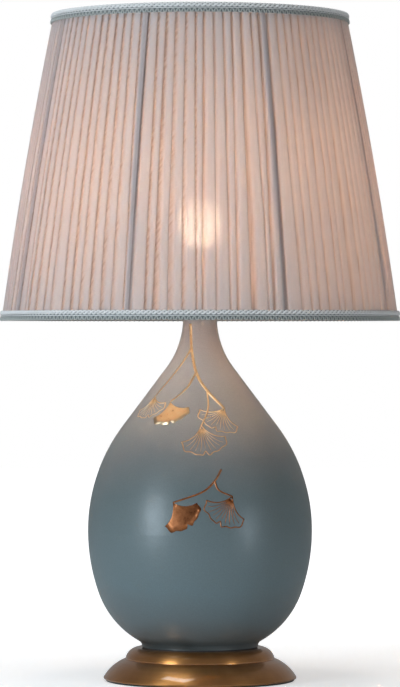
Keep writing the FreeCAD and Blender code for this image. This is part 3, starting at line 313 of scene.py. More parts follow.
def brushed_metal(name, dark, light, roughness, **sockets):
    """Turned metal with fine rings about the axis, and a tone that drifts between two colours."""
    finish = Finish(name, Metallic=1.0, Anisotropic=0.75, Anisotropic_Rotation=0.25, **sockets)
    finish.feed("Tangent", finish.add("Tangent", direction_type="RADIAL", axis="Z").outputs[0])
    radius = finish.radius()
    rings = finish.add("CombineXYZ", {"X": radius, "Z": finish.height()}).outputs[0]
    scratch = finish.noise(rings, 900.0, 4.0, 0.7)
    drift = finish.noise(finish.place(), 45.0, 3.0)
    wear = finish.sum(finish.sum(scratch, 0.3, "MULTIPLY"), finish.sum(drift, 0.7, "MULTIPLY"))
    finish.feed("Base Color", finish.tone(wear, dark, light, 0.35, 0.65))
    finish.feed("Roughness", finish.spread(scratch, 0.3, 0.7, roughness - 0.05, roughness + 0.08))
    finish.bump(scratch, 0.04 * MM)
    return finish.material


def antique_brass_finish():
    """Lacquered antique brass of the base."""
    dark, light = (0.5, 0.21, 0.055), (0.64, 0.29, 0.085)
    lacquer = {"Coat_Weight": 0.8, "Coat_IOR": 1.65, "Coat_Roughness": 0.06}
    return brushed_metal("antique_brass", dark, light, 0.34, **lacquer)


def plain_finish(name, colour, roughness, grain=400.0, depth=0.05 * MM):
    """Moulded or cast material with a fine grain in its colour and relief."""
    finish = Finish(name, Roughness=roughness)
    grains = finish.noise(finish.place(), grain, 4.0)
    darker = tuple(0.8 * share for share in colour)
    finish.feed("Base Color", finish.tone(grains, darker, colour, 0.35, 0.65))
    finish.bump(grains, depth)
    return finish.material


def felt_finish():
    """Dark green felt with its matted fibres."""
    finish = Finish("felt", Roughness=0.95, Sheen_Weight=0.4)
    fibres = finish.noise(finish.place(), 1500.0, 5.0, 0.8)
    finish.feed("Base Color", finish.tone(fibres, (0.008, 0.016, 0.012), (0.03, 0.05, 0.04)))
    finish.bump(fibres, 0.4 * MM)
    return finish.material


def chiffon_finish():
    """Sheer pleated cloth: pale on the pleats, with painted shade that makes it darker and warmer in the
    folds, and a painted shadow of each rib that makes it darker and shut to light over the ribs.
    """
    finish = Finish("chiffon", Roughness=0.7, Sheen_Weight=0.12, Sheen_Roughness=0.4)
    fold = finish.add("Attribute", attribute_name="fold").outputs["Fac"]
    rib_shadow = finish.add("Attribute", attribute_name="rib_shadow").outputs["Fac"]
    # Over the ribs the cloth lets no light or sight through, a painted shadow of the ribs.
    open_share = finish.sum(1.0, rib_shadow, "SUBTRACT")
    streaks = finish.noise(finish.cloth_place((1, 0.03, 1)), 700.0, 3.0)
    bands = finish.noise(finish.cloth_place((1, 0.02, 1)), 260.0, 2.0)
    depth = finish.sum(fold, finish.spread(streaks, 0.3, 0.7, -0.16, 0.16))
    depth = finish.sum(depth, finish.spread(bands, 0.35, 0.65, -0.1, 0.2))
    # Painted shade: the deeper into a fold, the darker and warmer the cloth; random streaks and bands shift
    # it.
    colours = [(0.0, (0.74, 0.73, 0.755)), (0.5, (0.7, 0.66, 0.665)), (1.0, (0.62, 0.52, 0.485))]
    # The painted shadow of the ribs also darkens the cloth's colour over them.
    rib_shadow_tint = finish.ramp(rib_shadow, [(0.0, (1, 1, 1)), (1.0, (0.62, 0.53, 0.49))])
    colour = finish.add("VectorMath", {0: finish.ramp(depth, colours), 1: rib_shadow_tint}, operation="MULTIPLY")
    finish.feed("Base Color", colour.outputs[0])
    finish.bump(finish.weave(900.0), 0.06 * MM)
    finish.bump(streaks, 0.2 * MM)
    # Light through the cloth is dimmer in the deepest folds: painted shade.
    through_colours_fold_shaded = [
        (0.0, (0.9, 0.8, 0.76)),
        (0.65, (0.97, 0.84, 0.78)),
        (0.85, (0.93, 0.77, 0.69)),
        (1.0, (0.71, 0.56, 0.475)),
    ]
    through = finish.ramp(depth, through_colours_fold_shaded)
    thin = finish.sum(finish.spread(depth, 0.0, 1.0, 0.42, 0.6), open_share, "MULTIPLY")
    finish.let_light_through(through, thin)
    finish.let_sight_through(finish.sum(open_share, CLEAR_SHARE, "MULTIPLY"))
    return finish.material


def lining_finish():
    """Smooth off-white lining with a fine weave."""
    finish = Finish("lining_cloth", Roughness=0.8)
    cloud = finish.noise(finish.cloth_place((1, 0.2, 1)), 60.0, 3.0)
    colour = finish.ramp(cloud, [(0.0, (0.74, 0.67, 0.6)), (1.0, (0.86, 0.8, 0.74))])
    finish.feed("Base Color", colour)
    finish.bump(finish.weave(700.0), 0.08 * MM)
    finish.let_light_through(colour, 0.75)
    finish.let_sight_through(CLEAR_SHARE)
    return finish.material


def braid_finish(name, dark, light):
    """Silvery rayon yarn whose fibres run along the strand."""
    finish = Finish(name, Roughness=0.45, Sheen_Weight=0.3, Sheen_Roughness=0.3)
    fibres = finish.noise(finish.cloth_place((0.15, 1, 1)), 2600.0, 3.0, 0.7)
    finish.feed("Base Color", finish.tone(fibres, dark, light))
    finish.bump(fibres, 0.1 * MM)
    return finish.material


def gold_finish():
    """Thin gold lustre fired on the glaze: coppery, and paler and brighter on the upper body, a painted
    reflection of the lit shade above it.
    """
    finish = Finish("gold_lustre", Metallic=1.0, Roughness=0.32)
    wear = finish.noise(finish.place(), 240.0, 4.0, 0.7)
    deep = finish.tone(wear, (0.34, 0.125, 0.05), (0.52, 0.205, 0.085))
    pale = finish.tone(wear, (0.93, 0.69, 0.4), (0.98, 0.82, 0.56))
    # Painted reflection: over the neck the gold is paler, as if it caught the lit shade above.
    reflection_share = finish.spread(finish.height(), 0.2, 0.27)
    mixed = finish.add("Mix", {"Factor": reflection_share, 6: deep, 7: pale}, data_type="RGBA")
    finish.feed("Base Color", mixed.outputs[2])
    finish.feed("Roughness", finish.spread(wear, 0.3, 0.7, 0.26, 0.42))
    finish.bump(wear, 0.03 * MM)
    return finish.material


def glow_finish(name, colour, strength):
    """A glowing material, of which the camera sees SEEN_GLOW and not the full strength.

    Few of the camera's rays pass the cloth, and at full strength these would leave white specks on it.
    """
    finish = Finish(name, Roughness=0.25, Base_Color=(0.9, 0.86, 0.8, 1))
    mottle = finish.noise(finish.place(), 120.0, 2.0)
    dimmer = tuple(0.92 * share for share in colour)
    finish.feed("Emission Color", finish.ramp(mottle, [(0.3, dimmer), (0.7, colour)]))
    seen = finish.add("LightPath").outputs["Is Camera Ray"]
    finish.feed("Emission Strength", finish.spread(seen, 0.0, 1.0, strength, SEEN_GLOW))
    return finish


def opal_glass_finish():
    """The bulb's glass: opal where it holds the light, and clear where it lets the inside through.

    Seen bare, with no cloth before it, it keeps a soft glow, so that it shows its form and not a white patch.
    """
    finish = glow_finish("opal_glass", (1.0, 0.7, 0.46), GLASS_GLOW)
    clear = finish.add("BsdfTransparent")
    glow = finish.show_mix(GLASS_CLEAR_SHARE, finish.shader.outputs[0], clear.outputs[0])
    low, high = (corner.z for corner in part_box("bulb_glass"))
    share = finish.spread(finish.height(), low, high)
    soft_colours = [(0.1, (0.95, 0.62, 0.3)), (0.45, (1.0, 0.82, 0.55)), (0.8, (1.0, 0.9, 0.7))]
    soft = finish.add("Emission", {"Color": finish.ramp(share, soft_colours)})
    path = finish.add("LightPath")
    uncovered = finish.sum(path.outputs["Transparent Depth"], 0.5, "LESS_THAN")
    bare = finish.sum(path.outputs["Is Camera Ray"], uncovered, "MULTIPLY")
    finish.show_mix(bare, glow, soft.outputs[0])
    return finish.material


def dress_nodes():
    """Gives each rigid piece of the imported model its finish."""
    brass = antique_brass_finish()
    bright_brass = brushed_metal("bright_brass", (0.5, 0.32, 0.12), (0.68, 0.46, 0.2), 0.3)
    steel = brushed_metal("plated_steel", (0.42, 0.42, 0.42), (0.6, 0.6, 0.6), 0.35)
    iron = plain_finish("cast_iron", (0.045, 0.045, 0.048), 0.75, 300.0, 0.3 * MM)
    black = plain_finish("black_plastic", (0.03, 0.03, 0.032), 0.4)
    brown = plain_finish("knob_plastic", (0.06, 0.035, 0.02), 0.32)
    rubber = plain_finish("rubber", (0.035, 0.034, 0.032), 0.8, 900.0)
    paint = plain_finish("frame_paint", (0.72, 0.7, 0.66), 0.4)
    aluminium = brushed_metal("aluminium", (0.6, 0.6, 0.61), (0.75, 0.75, 0.76), 0.32)
    finishes = {
        "felt_pad": felt_finish(),
        "base_shell": brass,
        "base_weight": iron,
        "cord_bushing": black,
        "lower_washer": steel,
        "lower_nut": steel,
        "lamp_pipe": steel,
        "neck_nut": steel,
        "harp_saddle": steel,
        "terminal_screws": steel,
        "foot_gasket": rubber,
        "neck_gasket": rubber,
        "porcelain_body": glaze_finish(),
        "neck_cap": bright_brass,
        "harp_bow": bright_brass,
        "harp_stud": bright_brass,
        "harp_sleeve_left": bright_brass,
        "harp_sleeve_right": bright_brass,
        "socket_cap": bright_brass,
        "socket_shell": bright_brass,
        "screw_shell": bright_brass,
        "centre_contact": bright_brass,
        "finial": bright_brass,
        "switch_shaft": bright_brass,
        "socket_insulator": plain_finish("porcelain_insulator", (0.75, 0.73, 0.68), 0.3),
        "fibre_liner": plain_finish("fibre", (0.32, 0.24, 0.15), 0.85, 800.0),
        "switch_knob": brown,
        "bulb_glass": opal_glass_finish(),
        "bulb_stem": glow_finish("glowing_core", (1.0, 0.83, 0.64), CORE_GLOW).material,
        "bulb_cap": aluminium,
        "bulb_contact": aluminium,
        "frame_ribs": paint,
        "top_ring": paint,
        "bottom_ring": paint,
        "shade_spider": paint,
    }
    for node, finish in finishes.items():
        for material_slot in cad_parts[node].material_slots:
            material_slot.material = finish


# Meshes


def new_mesh(name, points, faces, finish, flat_places=None, **shares):
    """A smooth mesh with one finish, and where wanted its places on the flat cloth and its shares."""
    mesh = bpy.data.meshes.new(name)
    mesh.from_pydata([tuple(point) for point in points], [], faces)
    mesh.materials.append(finish)
    if flat_places is not None:
        layer = mesh.uv_layers.new(name="flat")
        corners = np.zeros(len(mesh.loops), dtype=np.int32)
        mesh.loops.foreach_get("vertex_index", corners)
        layer.data.foreach_set("uv", np.asarray(flat_places, dtype=np.float32)[corners].ravel())
    for attribute_name, values in shares.items():
        attribute = mesh.attributes.new(attribute_name, "FLOAT", "POINT")
        attribute.data.foreach_set("value", np.asarray(values, dtype=np.float32))
    mesh.shade_smooth()
    mesh.update()
    piece = bpy.data.objects.new(name, mesh)
    bpy.context.scene.collection.objects.link(piece)
    return piece


def points_from(*ways):
    """A list of points from arrays of their coordinates, which are spread over one another."""
    return np.stack(np.broadcast_arrays(*ways), axis=-1).reshape(-1, len(ways))


def points_round(radii, turns, heights):
    """Points at the given radii, turns from the front and heights."""
    return points_from(radii * np.sin(turns), -radii * np.cos(turns), heights)


def shell_faces(rows, columns):
    """Faces of a closed ring-shaped sheet: its outside, its inside, and its two rims."""
    side = rows * columns
    faces = []
    for row in range(rows):
        for column in range(columns):
            after = (column + 1) % columns
            here, beside = row * columns + column, row * columns + after
            if row < rows - 1:
                above, across = here + columns, beside + columns
                faces.append((here, beside, across, above))
                faces.append((side + above, side + across, side + beside, side + here))
            if row == 0:
                faces.append((side + here, side + beside, beside, here))
            if row == rows - 1:
                faces.append((here, beside, side + beside, side + here))
    return faces


def height_share(height):
    """Where a height lies on the shade: 0 at its lower edge and 1 at the upper one."""
    return (height - SHADE_LOW) / (SHADE_HIGH - SHADE_LOW)


def cover_radius(share):
    """Outer radius of the shade, where share runs from 0 at its lower edge to 1 at the upper one."""
    taper = SHADE_LOW_RADIUS * (1 - share) + SHADE_HIGH_RADIUS * share
    return taper + 4 * SHADE_BULGE * share * (1 - share)


# Cloth


def smooth_noise(draw, count, steps):
    """Values from -1 to 1 for each of count folds that drift along the height in a few steps."""
    knots = draw.uniform(-1, 1, (DRIFT_KNOTS, count))
    spots = np.linspace(0, DRIFT_KNOTS - 1, steps)
    places = range(DRIFT_KNOTS)
    return np.array([[np.interp(spot, places, knots[:, index]) for index in range(count)] for spot in spots])


def uneven(draw, loose, limits, held, more):
    """A value drawn for each pleat: part of it shows where the cloth is held, and more where it's loose."""
    return draw.uniform(*limits, PLEATS)[None, :] * (held + more * loose)


def pleat_shape(shares):
    """Turn, radius, painted shade in the folds and painted shadow of the ribs, for the points round the cloth
    at each height.
    """
    draw = np.random.default_rng(PLEAT_SEED)
    loose = (1 - shares)[:, None] ** LOOSE_POWER
    edges = np.arange(PLEATS)[None, :] + FIRST_PLEAT_SHARE + uneven(draw, loose, *STRAY_SHARES)
    edges = edges + DRIFT_SHARE * smooth_noise(draw, PLEATS, CLOTH_ROWS) * (DRIFT_HELD_SHARE + loose)
    pitches = np.roll(edges, -1, axis=1) - edges
    pitches[:, -1] += PLEATS
    warp = 1 + uneven(draw, loose, *WARP_SHARES)
    depths = PLEAT_DEPTH_HIGH * (1 - loose) + PLEAT_DEPTH_LOW * loose
    depths = (depths * (1 + uneven(draw, loose, *DEPTH_SPREAD_SHARES)))[:, :, None]
    drops = np.array(FOLD_DEPTH_SHARES)
    bent = np.array(FOLD_PLACE_SHARES) ** warp[:, :, None]
    turns = (edges[:, :, None] + bent * pitches[:, :, None]) * TURN / PLEATS
    radii = cover_radius(shares)[:, None, None] - depths * drops
    # Painted shade in the folds: it follows the depth there, and is weaker on shallower pleats.
    folds = drops * (SHALLOW_FOLD_SHARE + (1 - SHALLOW_FOLD_SHARE) * depths / depths.max())
    turns, radii, folds = (layer.reshape(CLOTH_ROWS, -1) for layer in (turns, radii, folds))
    panel = TURN / RIBS
    from_rib = ((turns - FIRST_RIB_TURN + panel / 2) % panel - panel / 2) * radii
    # Over each rib the cloth gets a painted shadow of the rib.
    rib_shadows = np.clip((RIB_SHADOW_HALF_WIDTH - np.abs(from_rib)) / RIB_SHADOW_SOFTNESS + 0.5, 0, 1)
    # Beside each rib the cloth is creased in, and the crease gets painted shade as deep as a fold's.
    creases = np.exp(-(((from_rib - CREASE_OFFSET) / CREASE_WIDTH) ** 2))
    return turns, radii - creases * CREASE_DEPTH, np.maximum(folds, creases), rib_shadows


def make_cloth(finish):
    """Pleated cloth, crisp under the upper braid and looser and less even further down."""
    shares = np.linspace(0, 1, CLOTH_ROWS)
    turns, radii, folds, rib_shadows = pleat_shape(shares)
    across, along = radii * np.sin(turns), -radii * np.cos(turns)
    heights = (SHADE_LOW + (SHADE_HIGH - SHADE_LOW) * shares)[:, None]
    run_x, run_y = (np.roll(way, -1, axis=1) - np.roll(way, 1, axis=1) for way in (across, along))
    size = np.maximum(np.hypot(run_x, run_y), TINY)
    outer = points_from(across, along, heights)
    inset_x, inset_y = -run_y / size * CLOTH_THICKNESS, run_x / size * CLOTH_THICKNESS
    points = np.concatenate([outer, points_from(across + inset_x, along + inset_y, heights)])
    steps = np.hypot(*(np.diff(way, axis=1, prepend=way[:, :1]) for way in (across, along)))
    flat = points_from(np.cumsum(steps, axis=1), heights)
    flats = np.concatenate([flat, flat])
    # The cloth's marks: painted shade in the folds and the ribs' painted shadow, which the chiffon finish
    # reads.
    marks = {"fold": np.tile(folds.ravel(), 2), "rib_shadow": np.tile(rib_shadows.ravel(), 2)}
    return new_mesh("pleated_cloth", points, shell_faces(CLOTH_ROWS, turns.shape[1]), finish, flats, **marks)


def make_band(name, finish, span, rows, columns, reaches, slack=0.0):
    """A smooth band round the shade over a span of heights, with two layers at reaches past the cloth."""
    heights = np.linspace(*span, rows)
    turns = np.arange(columns) * TURN / columns
    drawn_in = slack * (1 - np.cos(RIBS * (turns - FIRST_RIB_TURN))) / 2
    radii = cover_radius(height_share(heights))[:, None]
    layers = [points_round(radii + reach - drawn_in, turns, heights[:, None]) for reach in reaches]
    flat = points_from(turns * SHADE_LOW_RADIUS, heights[:, None])
    flats = np.concatenate([flat, flat])
    return new_mesh(name, np.concatenate(layers), shell_faces(rows, columns), finish, flats)


def make_lining(finish):
    """Smooth lining inside the ribs, drawn slightly flat between them."""
    span = [corner.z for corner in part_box("shade_lining")]
    reaches = (-LINING_INSET, -(LINING_INSET + LINING_THICKNESS))
    return make_band("smooth_lining", finish, span, LINING_ROWS, LINING_COLUMNS, reaches, LINING_SLACK)


# Braid


def tube(points, radius):
    """Points, faces and flat places of a closed ring of yarn along a ring of points."""
    along = np.roll(points, -1, axis=0) - np.roll(points, 1, axis=0)
    along /= np.linalg.norm(along, axis=1)[:, None]
    up = np.array([0.0, 0.0, 1.0]) - along * along[:, 2:3]
    up /= np.linalg.norm(up, axis=1)[:, None]
    out = np.cross(along, up)
    turns = np.arange(STRAND_SIDES) * TURN / STRAND_SIDES
    rings = points[:, None, :] + radius * (
        np.cos(turns)[None, :, None] * out[:, None, :] + np.sin(turns)[None, :, None] * up[:, None, :]
    )
    faces = []
    for index in range(len(points)):
        here, after = index * STRAND_SIDES, (index + 1) % len(points) * STRAND_SIDES
        for side in range(STRAND_SIDES):
            beside = (side + 1) % STRAND_SIDES
            faces.append((here + side, after + side, after + beside, here + beside))
    length = np.cumsum(np.linalg.norm(np.diff(points, axis=0, prepend=points[:1]), axis=1))
    return rings.reshape(-1, 3), faces, points_from(length[:, None], radius * turns)


def braid_line(height, seat, pitch, samples, path):
    """Middle line of a strand round the shade; path gives its run, lift and depth through a pitch."""
    middle = cover_radius(height_share(height)) + seat
    periods = round(TURN * middle / pitch)
    phase = np.arange(periods * samples) * TURN / samples
    run, lift, depth = path(phase)
    turns = phase / periods + run / middle
    slope = (SHADE_HIGH_RADIUS - SHADE_LOW_RADIUS) / (SHADE_HIGH - SHADE_LOW)
    return points_round(middle + depth + slope * lift, turns, height + lift)


def twist(start):
    """One of two strands that twist about each other."""
    return lambda phase: (
        0 * phase,
        STRAND_LIFT * np.sin(phase + start),
        TWIST_DEPTH * np.cos(phase + start),
    )


def loops(phase):
    """A cord laid in upright loops, each lapped over the next."""
    return (LOOP_LEAN * np.sin(2 * phase), STRAND_LIFT * np.cos(phase), LOOP_DEPTH * np.sin(phase))


def straight(phase):
    """A cord that runs straight round."""
    return (0 * phase, 0 * phase, 0 * phase)


# Strands of the braid: height, seat, pitch, samples in a pitch, path and radius, in mm.
LOOP_STRANDS = ((2.0, 0.8, 5.2, 10, loops, 0.8),)
TWIST_STRANDS = (
    (4.6, 1.3, 40.0, 6, straight, 0.45),
    (7.6, 0.9, 10.4, 12, twist(0), 1.1),
    (7.6, 0.9, 10.4, 12, twist(math.pi), 1.1),
)


def make_braid(name, low, finish, strands):
    """Strands of braided edging; each has its height, seat, pitch, samples, path and radius."""
    points, faces, flats = [], [], []
    offset = 0
    for height, seat, pitch, samples, path, radius in strands:
        line = braid_line(low + height * MM, seat * MM, pitch * MM, samples, path)
        more_points, more_faces, more_flats = tube(line, radius * MM)
        points.append(more_points)
        flats.append(more_flats)
        faces += [tuple(index + offset for index in face) for face in more_faces]
        offset += len(more_points)
    return new_mesh(name, np.concatenate(points), faces, finish, np.concatenate(flats))


def make_tape(name, low, finish):
    """Thin woven tape that carries the strands of a braid."""
    span = (low + TAPE_MARGIN, low + TRIM_HEIGHT - TAPE_MARGIN)
    return make_band(name, finish, span, TAPE_ROWS, TAPE_COLUMNS, TAPE_REACHES)


# Gold sprigs on the body


def meridian(node, low, high):
    """Height, radius and length along a turned piece's outside between two heights."""
    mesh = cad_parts[node].data
    mesh.calc_loop_triangles()
    corners = [vertex.co.copy() for vertex in mesh.vertices]
    surface = BVHTree.FromPolygons(corners, [tuple(face.vertices) for face in mesh.loop_triangles])
    heights = np.linspace(low, high, BODY_SAMPLES)
    hits = [surface.ray_cast(Vector((0, -OUTSIDE, height)), Vector((0, 1, 0)))[0] for height in heights]
    radii = np.array([-hit.y for hit in hits])
    lengths = np.concatenate([[0], np.cumsum(np.hypot(np.diff(heights), np.diff(radii)))])
    return heights, radii, lengths


def lay_on_body(line, places, turn, length):
    """Points of a thin solid: flat places about a turn and a length, wrapped on the body."""
    heights, radii, lengths = line
    side, up = np.asarray(places).reshape(-1, 2).T
    run = length + up
    height, radius = np.interp(run, lengths, heights), np.interp(run, lengths, radii)
    lean_out = np.interp(run, lengths, np.gradient(heights, lengths))
    lean_up = -np.interp(run, lengths, np.gradient(radii, lengths))
    turns = turn + side / radius
    layers = []
    for lift in (GILT_LIFT, -GILT_LIFT):
        layers.append(points_round(radius + lean_out * lift, turns, height + lean_up * lift))
    return np.concatenate(layers)


def spun(places, spin):
    """A flat grid of places, turned by spin."""
    x, y = np.asarray(places)[..., 0], np.asarray(places)[..., 1]
    sine, cosine = math.sin(spin), math.cos(spin)
    return np.stack([x * cosine - y * sine, x * sine + y * cosine], axis=-1)


def grid_faces(rows, columns, offset):
    """Faces of a closed thin solid over a grid, with its sides."""
    side = rows * columns
    faces = []
    for row in range(rows - 1):
        for column in range(columns - 1):
            here = offset + row * columns + column
            square = (here, here + 1, here + columns + 1, here + columns)
            faces.append(square)
            faces.append(tuple(index + side for index in reversed(square)))
    border = list(range(columns))
    border += [row * columns + columns - 1 for row in range(1, rows)]
    border += [(rows - 1) * columns + column for column in range(columns - 2, -1, -1)]
    border += [row * columns for row in range(rows - 2, 0, -1)]
    for index, spot in enumerate(border):
        after = border[(index + 1) % len(border)]
        faces.append((offset + after, offset + spot, offset + side + spot, offset + side + after))
    return faces


def leaf_edge(share):
    """Distance of a fan leaf's outer edge from its stem, for a share from -1 to 1 across it."""
    waves = sum(size * math.cos(count * share + start) for size, count, start in LEAF_WAVES)
    notch = NOTCH_DEPTH_SHARE * math.exp(-((share / NOTCH_WIDTH_SHARE) ** 2))
    return 1 - LEAF_ROUNDING_SHARE * share**2 + waves - notch


def leaf_place(share, reach, size):
    """A place on a fan leaf: across it from -1 to 1, and from its stem to its edge."""
    turn = share * LEAF_HALF_ANGLE * (1 + reach**1.5) / 2
    distance = size * reach * leaf_edge(share)
    return (distance * math.sin(turn), distance * math.cos(turn))


def shares_across(steps):
    """Shares from -1 to 1 in the given number of steps each side of the middle."""
    return [index / steps for index in range(-steps, steps + 1)]


def stroke_grid(line, widths):
    """A ribbon of the given widths along a line of flat places."""
    left, right = [], []
    for index, (x, y) in enumerate(line):
        before, after = line[max(index - 1, 0)], line[min(index + 1, len(line) - 1)]
        run_x, run_y = after[0] - before[0], after[1] - before[1]
        size = max(math.hypot(run_x, run_y), TINY)
        half = widths[index] / 2
        left.append((x - run_y / size * half, y + run_x / size * half))
        right.append((x + run_y / size * half, y - run_x / size * half))
    return [right, left]


def solid_leaf(size):
    """One filled fan leaf."""
    reaches = [0.03, 0.2, 0.4, 0.6, 0.8, 1.0]
    return [[[leaf_place(share, reach, size) for share in shares_across(SOLID_STEPS)] for reach in reaches]]


def outlined_leaf(size):
    """The outline and veins of a fan leaf as strokes."""
    edge = [leaf_place(share, 1.0, size) for share in shares_across(EDGE_STEPS)]
    side_steps = range(SIDE_STEPS + 1)
    sides = [[leaf_place(side, step / SIDE_STEPS, size) for step in side_steps] for side in (-1, 1)]
    grids = [stroke_grid(line, [STROKE] * len(line)) for line in (edge, *sides)]
    steps = range(VEIN_STEPS + 1)
    widths = [STROKE * (VEIN_WIDTH_SHARE - VEIN_TAPER_SHARE * step) for step in steps]
    for index in range(-VEINS_EACH_SIDE, VEINS_EACH_SIDE + 1):
        share = index / (VEINS_EACH_SIDE + 1)
        reaches = [VEIN_START_SHARE + VEIN_LENGTH_SHARE * step / VEIN_STEPS for step in steps]
        grids.append(stroke_grid([leaf_place(share, reach, size) for reach in reaches], widths))
    return grids


def smooth_stem(line, start_width, end_width):
    """A smooth curve through given flat places, and its widths."""
    smooth = []
    for index in range(len(line) - 1):
        before, start = line[max(index - 1, 0)], line[index]
        end, after = line[index + 1], line[min(index + 2, len(line) - 1)]
        for step in range(STEM_STEPS):
            t = step / STEM_STEPS
            place = []
            for a, b, c, d in zip(before, start, end, after):
                bend = (2 * a - 5 * b + 4 * c - d) * t**2 + (3 * b - 3 * c + d - a) * t**3
                place.append(0.5 * (2 * b + (c - a) * t + bend))
            smooth.append(tuple(place))
    smooth.append(line[-1])
    widths = [start_width + (end_width - start_width) * index / len(smooth) for index in range(len(smooth))]
    return smooth, widths


# Stems as a width in mm and places of (turn from the front in degrees, height in mm).
SPRIG_STEMS = (
    (3.0, ((-34, 356), (-22, 332), (-6, 308), (8, 290), (22, 273))),
    (2.2, ((-6, 308), (-16, 292), (-30, 279))),
    (1.9, ((8, 290), (7, 272), (1, 256))),
    (2.2, ((-22, 332), (-36, 316), (-46, 300), (-54, 284))),
    (2.1, ((12, 214), (8, 203), (1, 192), (-14, 182))),
    (1.8, ((8, 203), (10, 194), (17, 188))),
)
# Leaves as turn and height of the stem's end, spin, size in mm and kind.
SPRIG_LEAVES = (
    (22, 273, 148, 31, outlined_leaf),
    (-30, 279, 200, 29, solid_leaf),
    (1, 256, 188, 34, outlined_leaf),
    (-54, 284, 196, 27, outlined_leaf),
    (-14, 182, 216, 30, solid_leaf),
    (17, 188, 152, 32, outlined_leaf),
)
SPRIG_TURNS = (0, 180)


def make_sprigs(finish):
    """Gold sprigs of fan leaves on the front and the back of the body."""
    line = meridian("porcelain_body", BODY_LOW, BODY_HIGH)
    points, faces = [], []

    def lay(places, turn, height, spin=0.0):
        """Lays a grid of flat places on the body, about a turn and a height."""
        length = np.interp(height, line[0], line[2])
        faces.extend(grid_faces(len(places), len(places[0]), sum(len(part) for part in points)))
        points.append(lay_on_body(line, spun(places, spin), turn, length))

    for sprig_turn in SPRIG_TURNS:
        for turn, height, spin, size, leaf in SPRIG_LEAVES:
            for places in leaf(size * MM):
                lay(places, math.radians(turn + sprig_turn), height * MM, math.radians(spin))
        for width, stem in SPRIG_STEMS:
            start, foot = stem[0]
            flat = []
            for turn, height in stem:
                radius = np.interp(height * MM, line[0], line[1])
                up = np.interp(height * MM, line[0], line[2]) - np.interp(foot * MM, line[0], line[2])
                flat.append((math.radians(turn - start) * radius, up))
            smooth, widths = smooth_stem(flat, width * MM, STEM_TAPER_SHARE * width * MM)
            lay(stroke_grid(smooth, widths), math.radians(start + sprig_turn), foot * MM)
    return new_mesh("gold_sprigs", np.concatenate(points), faces, finish)


def make_thread(finish):
    """The fine thread on the harp's stud, one unbroken helix."""
    stud_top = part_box("harp_stud")[1].z
    bottom, top = stud_top - THREAD_START, stud_top - THREAD_END
    count = int((top - bottom) / THREAD_PITCH * THREAD_STEPS)
    points, faces = [], []
    for index in range(count + 1):
        turn = TURN * index / THREAD_STEPS
        height = bottom + THREAD_PITCH * index / THREAD_STEPS
        crest = THREAD_OUT * min(1.0, index / THREAD_STEPS, (count - index) / THREAD_STEPS)
        for out, up in ((-THREAD_IN, -THREAD_HALF_SHARE), (crest, 0.0), (-THREAD_IN, THREAD_HALF_SHARE)):
            reach = THREAD_RADIUS + out
            points.append((reach * math.cos(turn), reach * math.sin(turn), height + up * THREAD_PITCH))
    for index in range(count):
        for side in range(3):
            here, beside = index * 3 + side, index * 3 + (side + 1) % 3
            faces.append((here, beside, beside + 3, here + 3))
    faces.append((2, 1, 0))
    faces.append((count * 3, count * 3 + 1, count * 3 + 2))
    return new_mesh("stud_thread", points, faces, finish)


# Studio


def make_world():
    """White behind the lamp and a dimmer room before it, with a plain soft light from both."""
    world = bpy.data.worlds.new("studio")
    world.use_nodes = True
    tree = world.node_tree
    background = tree.nodes["Background"]
    background.inputs["Color"].default_value = (1, 1, 1, 1)
    split = tree.nodes.new("ShaderNodeSeparateXYZ")
    tree.links.new(tree.nodes.new("ShaderNodeTexCoord").outputs["Generated"], split.inputs[0])
    path = tree.nodes.new("ShaderNodeLightPath")
    strength = None
    for front, back, ray in (
        (FRONT_LIGHT, BACK_LIGHT, None),
        (FRONT_SHEEN, BACK_SHEEN, "Is Glossy Ray"),
        (1, 1, "Is Camera Ray"),
    ):
        share = tree.nodes.new("ShaderNodeMapRange")
        share.interpolation_type = "SMOOTHSTEP"
        share.inputs["From Min"].default_value = 0.0
        share.inputs["From Max"].default_value = BACK_SHARE
        share.inputs["To Min"].default_value = front
        share.inputs["To Max"].default_value = back
        tree.links.new(split.outputs["Y"], share.inputs["Value"])
        if ray is None:
            strength = share.outputs[0]
            continue
        choice = tree.nodes.new("ShaderNodeMix")
        tree.links.new(path.outputs[ray], choice.inputs["Factor"])
        tree.links.new(strength, choice.inputs["A"])
        tree.links.new(share.outputs[0], choice.inputs["B"])
        strength = choice.outputs["Result"]
    tree.links.new(strength, background.inputs["Strength"])
    bpy.context.scene.world = world


def make_floor():
    """Pale floor that keeps the lamp's shadow and turns plain white further out."""
    finish = Finish("floor", Roughness=0.9, Base_Color=(0.8, 0.8, 0.8, 1))
    seen = finish.add("LightPath").outputs["Is Camera Ray"]
    far = finish.spread(finish.radius(), *FLOOR_FADE)
    finish.shader.inputs["Emission Color"].default_value = (1, 1, 1, 1)
    finish.feed("Emission Strength", finish.sum(seen, far, "MULTIPLY"))
    turns = [TURN * side / FLOOR_SIDES for side in range(FLOOR_SIDES)]
    points = [(FLOOR_RADIUS * math.cos(turn), FLOOR_RADIUS * math.sin(turn), 0) for turn in turns]
    floor = new_mesh("floor", points, [tuple(range(FLOOR_SIDES))], finish.material)
    floor.location.z = -FLOOR_DROP


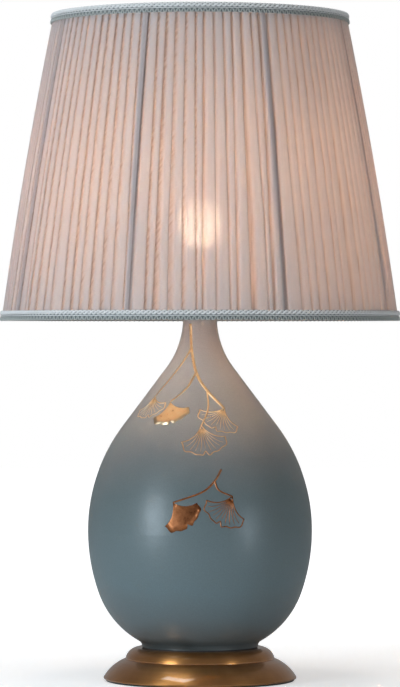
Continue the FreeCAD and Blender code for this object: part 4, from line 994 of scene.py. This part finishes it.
def area_light(name, place, target, size, power):
    """A soft rectangular lamp of a size, aimed at a target."""
    light = bpy.data.lights.new(name, "AREA")
    light.shape = "RECTANGLE"
    light.size, light.size_y = size
    light.energy = power
    light.color = DAYLIGHT
    lamp = bpy.data.objects.new(name, light)
    lamp.location = place
    lamp.rotation_euler = (Vector(target) - Vector(place)).to_track_quat("-Z", "Y").to_euler()
    bpy.context.scene.collection.objects.link(lamp)


def make_camera():
    """Camera at the photograph's distance and height: a millimetre at the axis is one pixel."""
    camera = bpy.data.cameras.new("camera")
    camera.sensor_fit = "VERTICAL"
    camera.sensor_height = SENSOR_HEIGHT
    camera.lens = SENSOR_HEIGHT * CAMERA_DISTANCE / (FRAME_PIXELS_HIGH * MM)
    camera.shift_y = (PICTURE_MIDDLE - CAMERA_HEIGHT) / (FRAME_PIXELS_HIGH * MM)
    viewer = bpy.data.objects.new("camera", camera)
    viewer.location = (0, -CAMERA_DISTANCE, CAMERA_HEIGHT)
    viewer.rotation_euler = (math.pi / 2, 0, 0)
    bpy.context.scene.collection.objects.link(viewer)
    bpy.context.scene.camera = viewer


bpy.context.scene.view_settings.view_transform = "Standard"
dress_nodes()

cloth = make_cloth(chiffon_finish())
lining = make_lining(lining_finish())
loop_yarn = braid_finish("loop_yarn", (0.29, 0.3, 0.28), (0.53, 0.55, 0.52))
pale_yarn = braid_finish("pale_yarn", (0.58, 0.58, 0.57), (0.9, 0.88, 0.86))
# The tape's yarn is darker than the strands, as painted shade in the gaps between them.
gap_shade_yarn = braid_finish("gap_shade_yarn", (0.11, 0.13, 0.13), (0.22, 0.25, 0.25))
trims = []
for edge in ("bottom_trim", "top_trim"):
    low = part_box(edge)[0].z - BRAID_DROPS[edge]
    name = edge.replace("_trim", "")
    trims_here = [
        make_braid(f"{name}_loops", low, loop_yarn, LOOP_STRANDS),
        make_braid(f"{name}_twist", low, pale_yarn, TWIST_STRANDS),
        make_tape(f"{name}_tape", low, gap_shade_yarn),
    ]
    for piece in trims_here:
        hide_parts(edge)
        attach(piece, "shade")
    trims += trims_here
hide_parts("shade_pleats")
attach(cloth, "shade")
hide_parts("shade_lining")
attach(lining, "shade")

sprigs = make_sprigs(gold_finish())
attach(sprigs, "base")
thread = make_thread(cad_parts["harp_stud"].material_slots[0].material)
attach(thread, "base")

make_world()
make_floor()
make_camera()
for light in LIGHTS:
    area_light(*light)
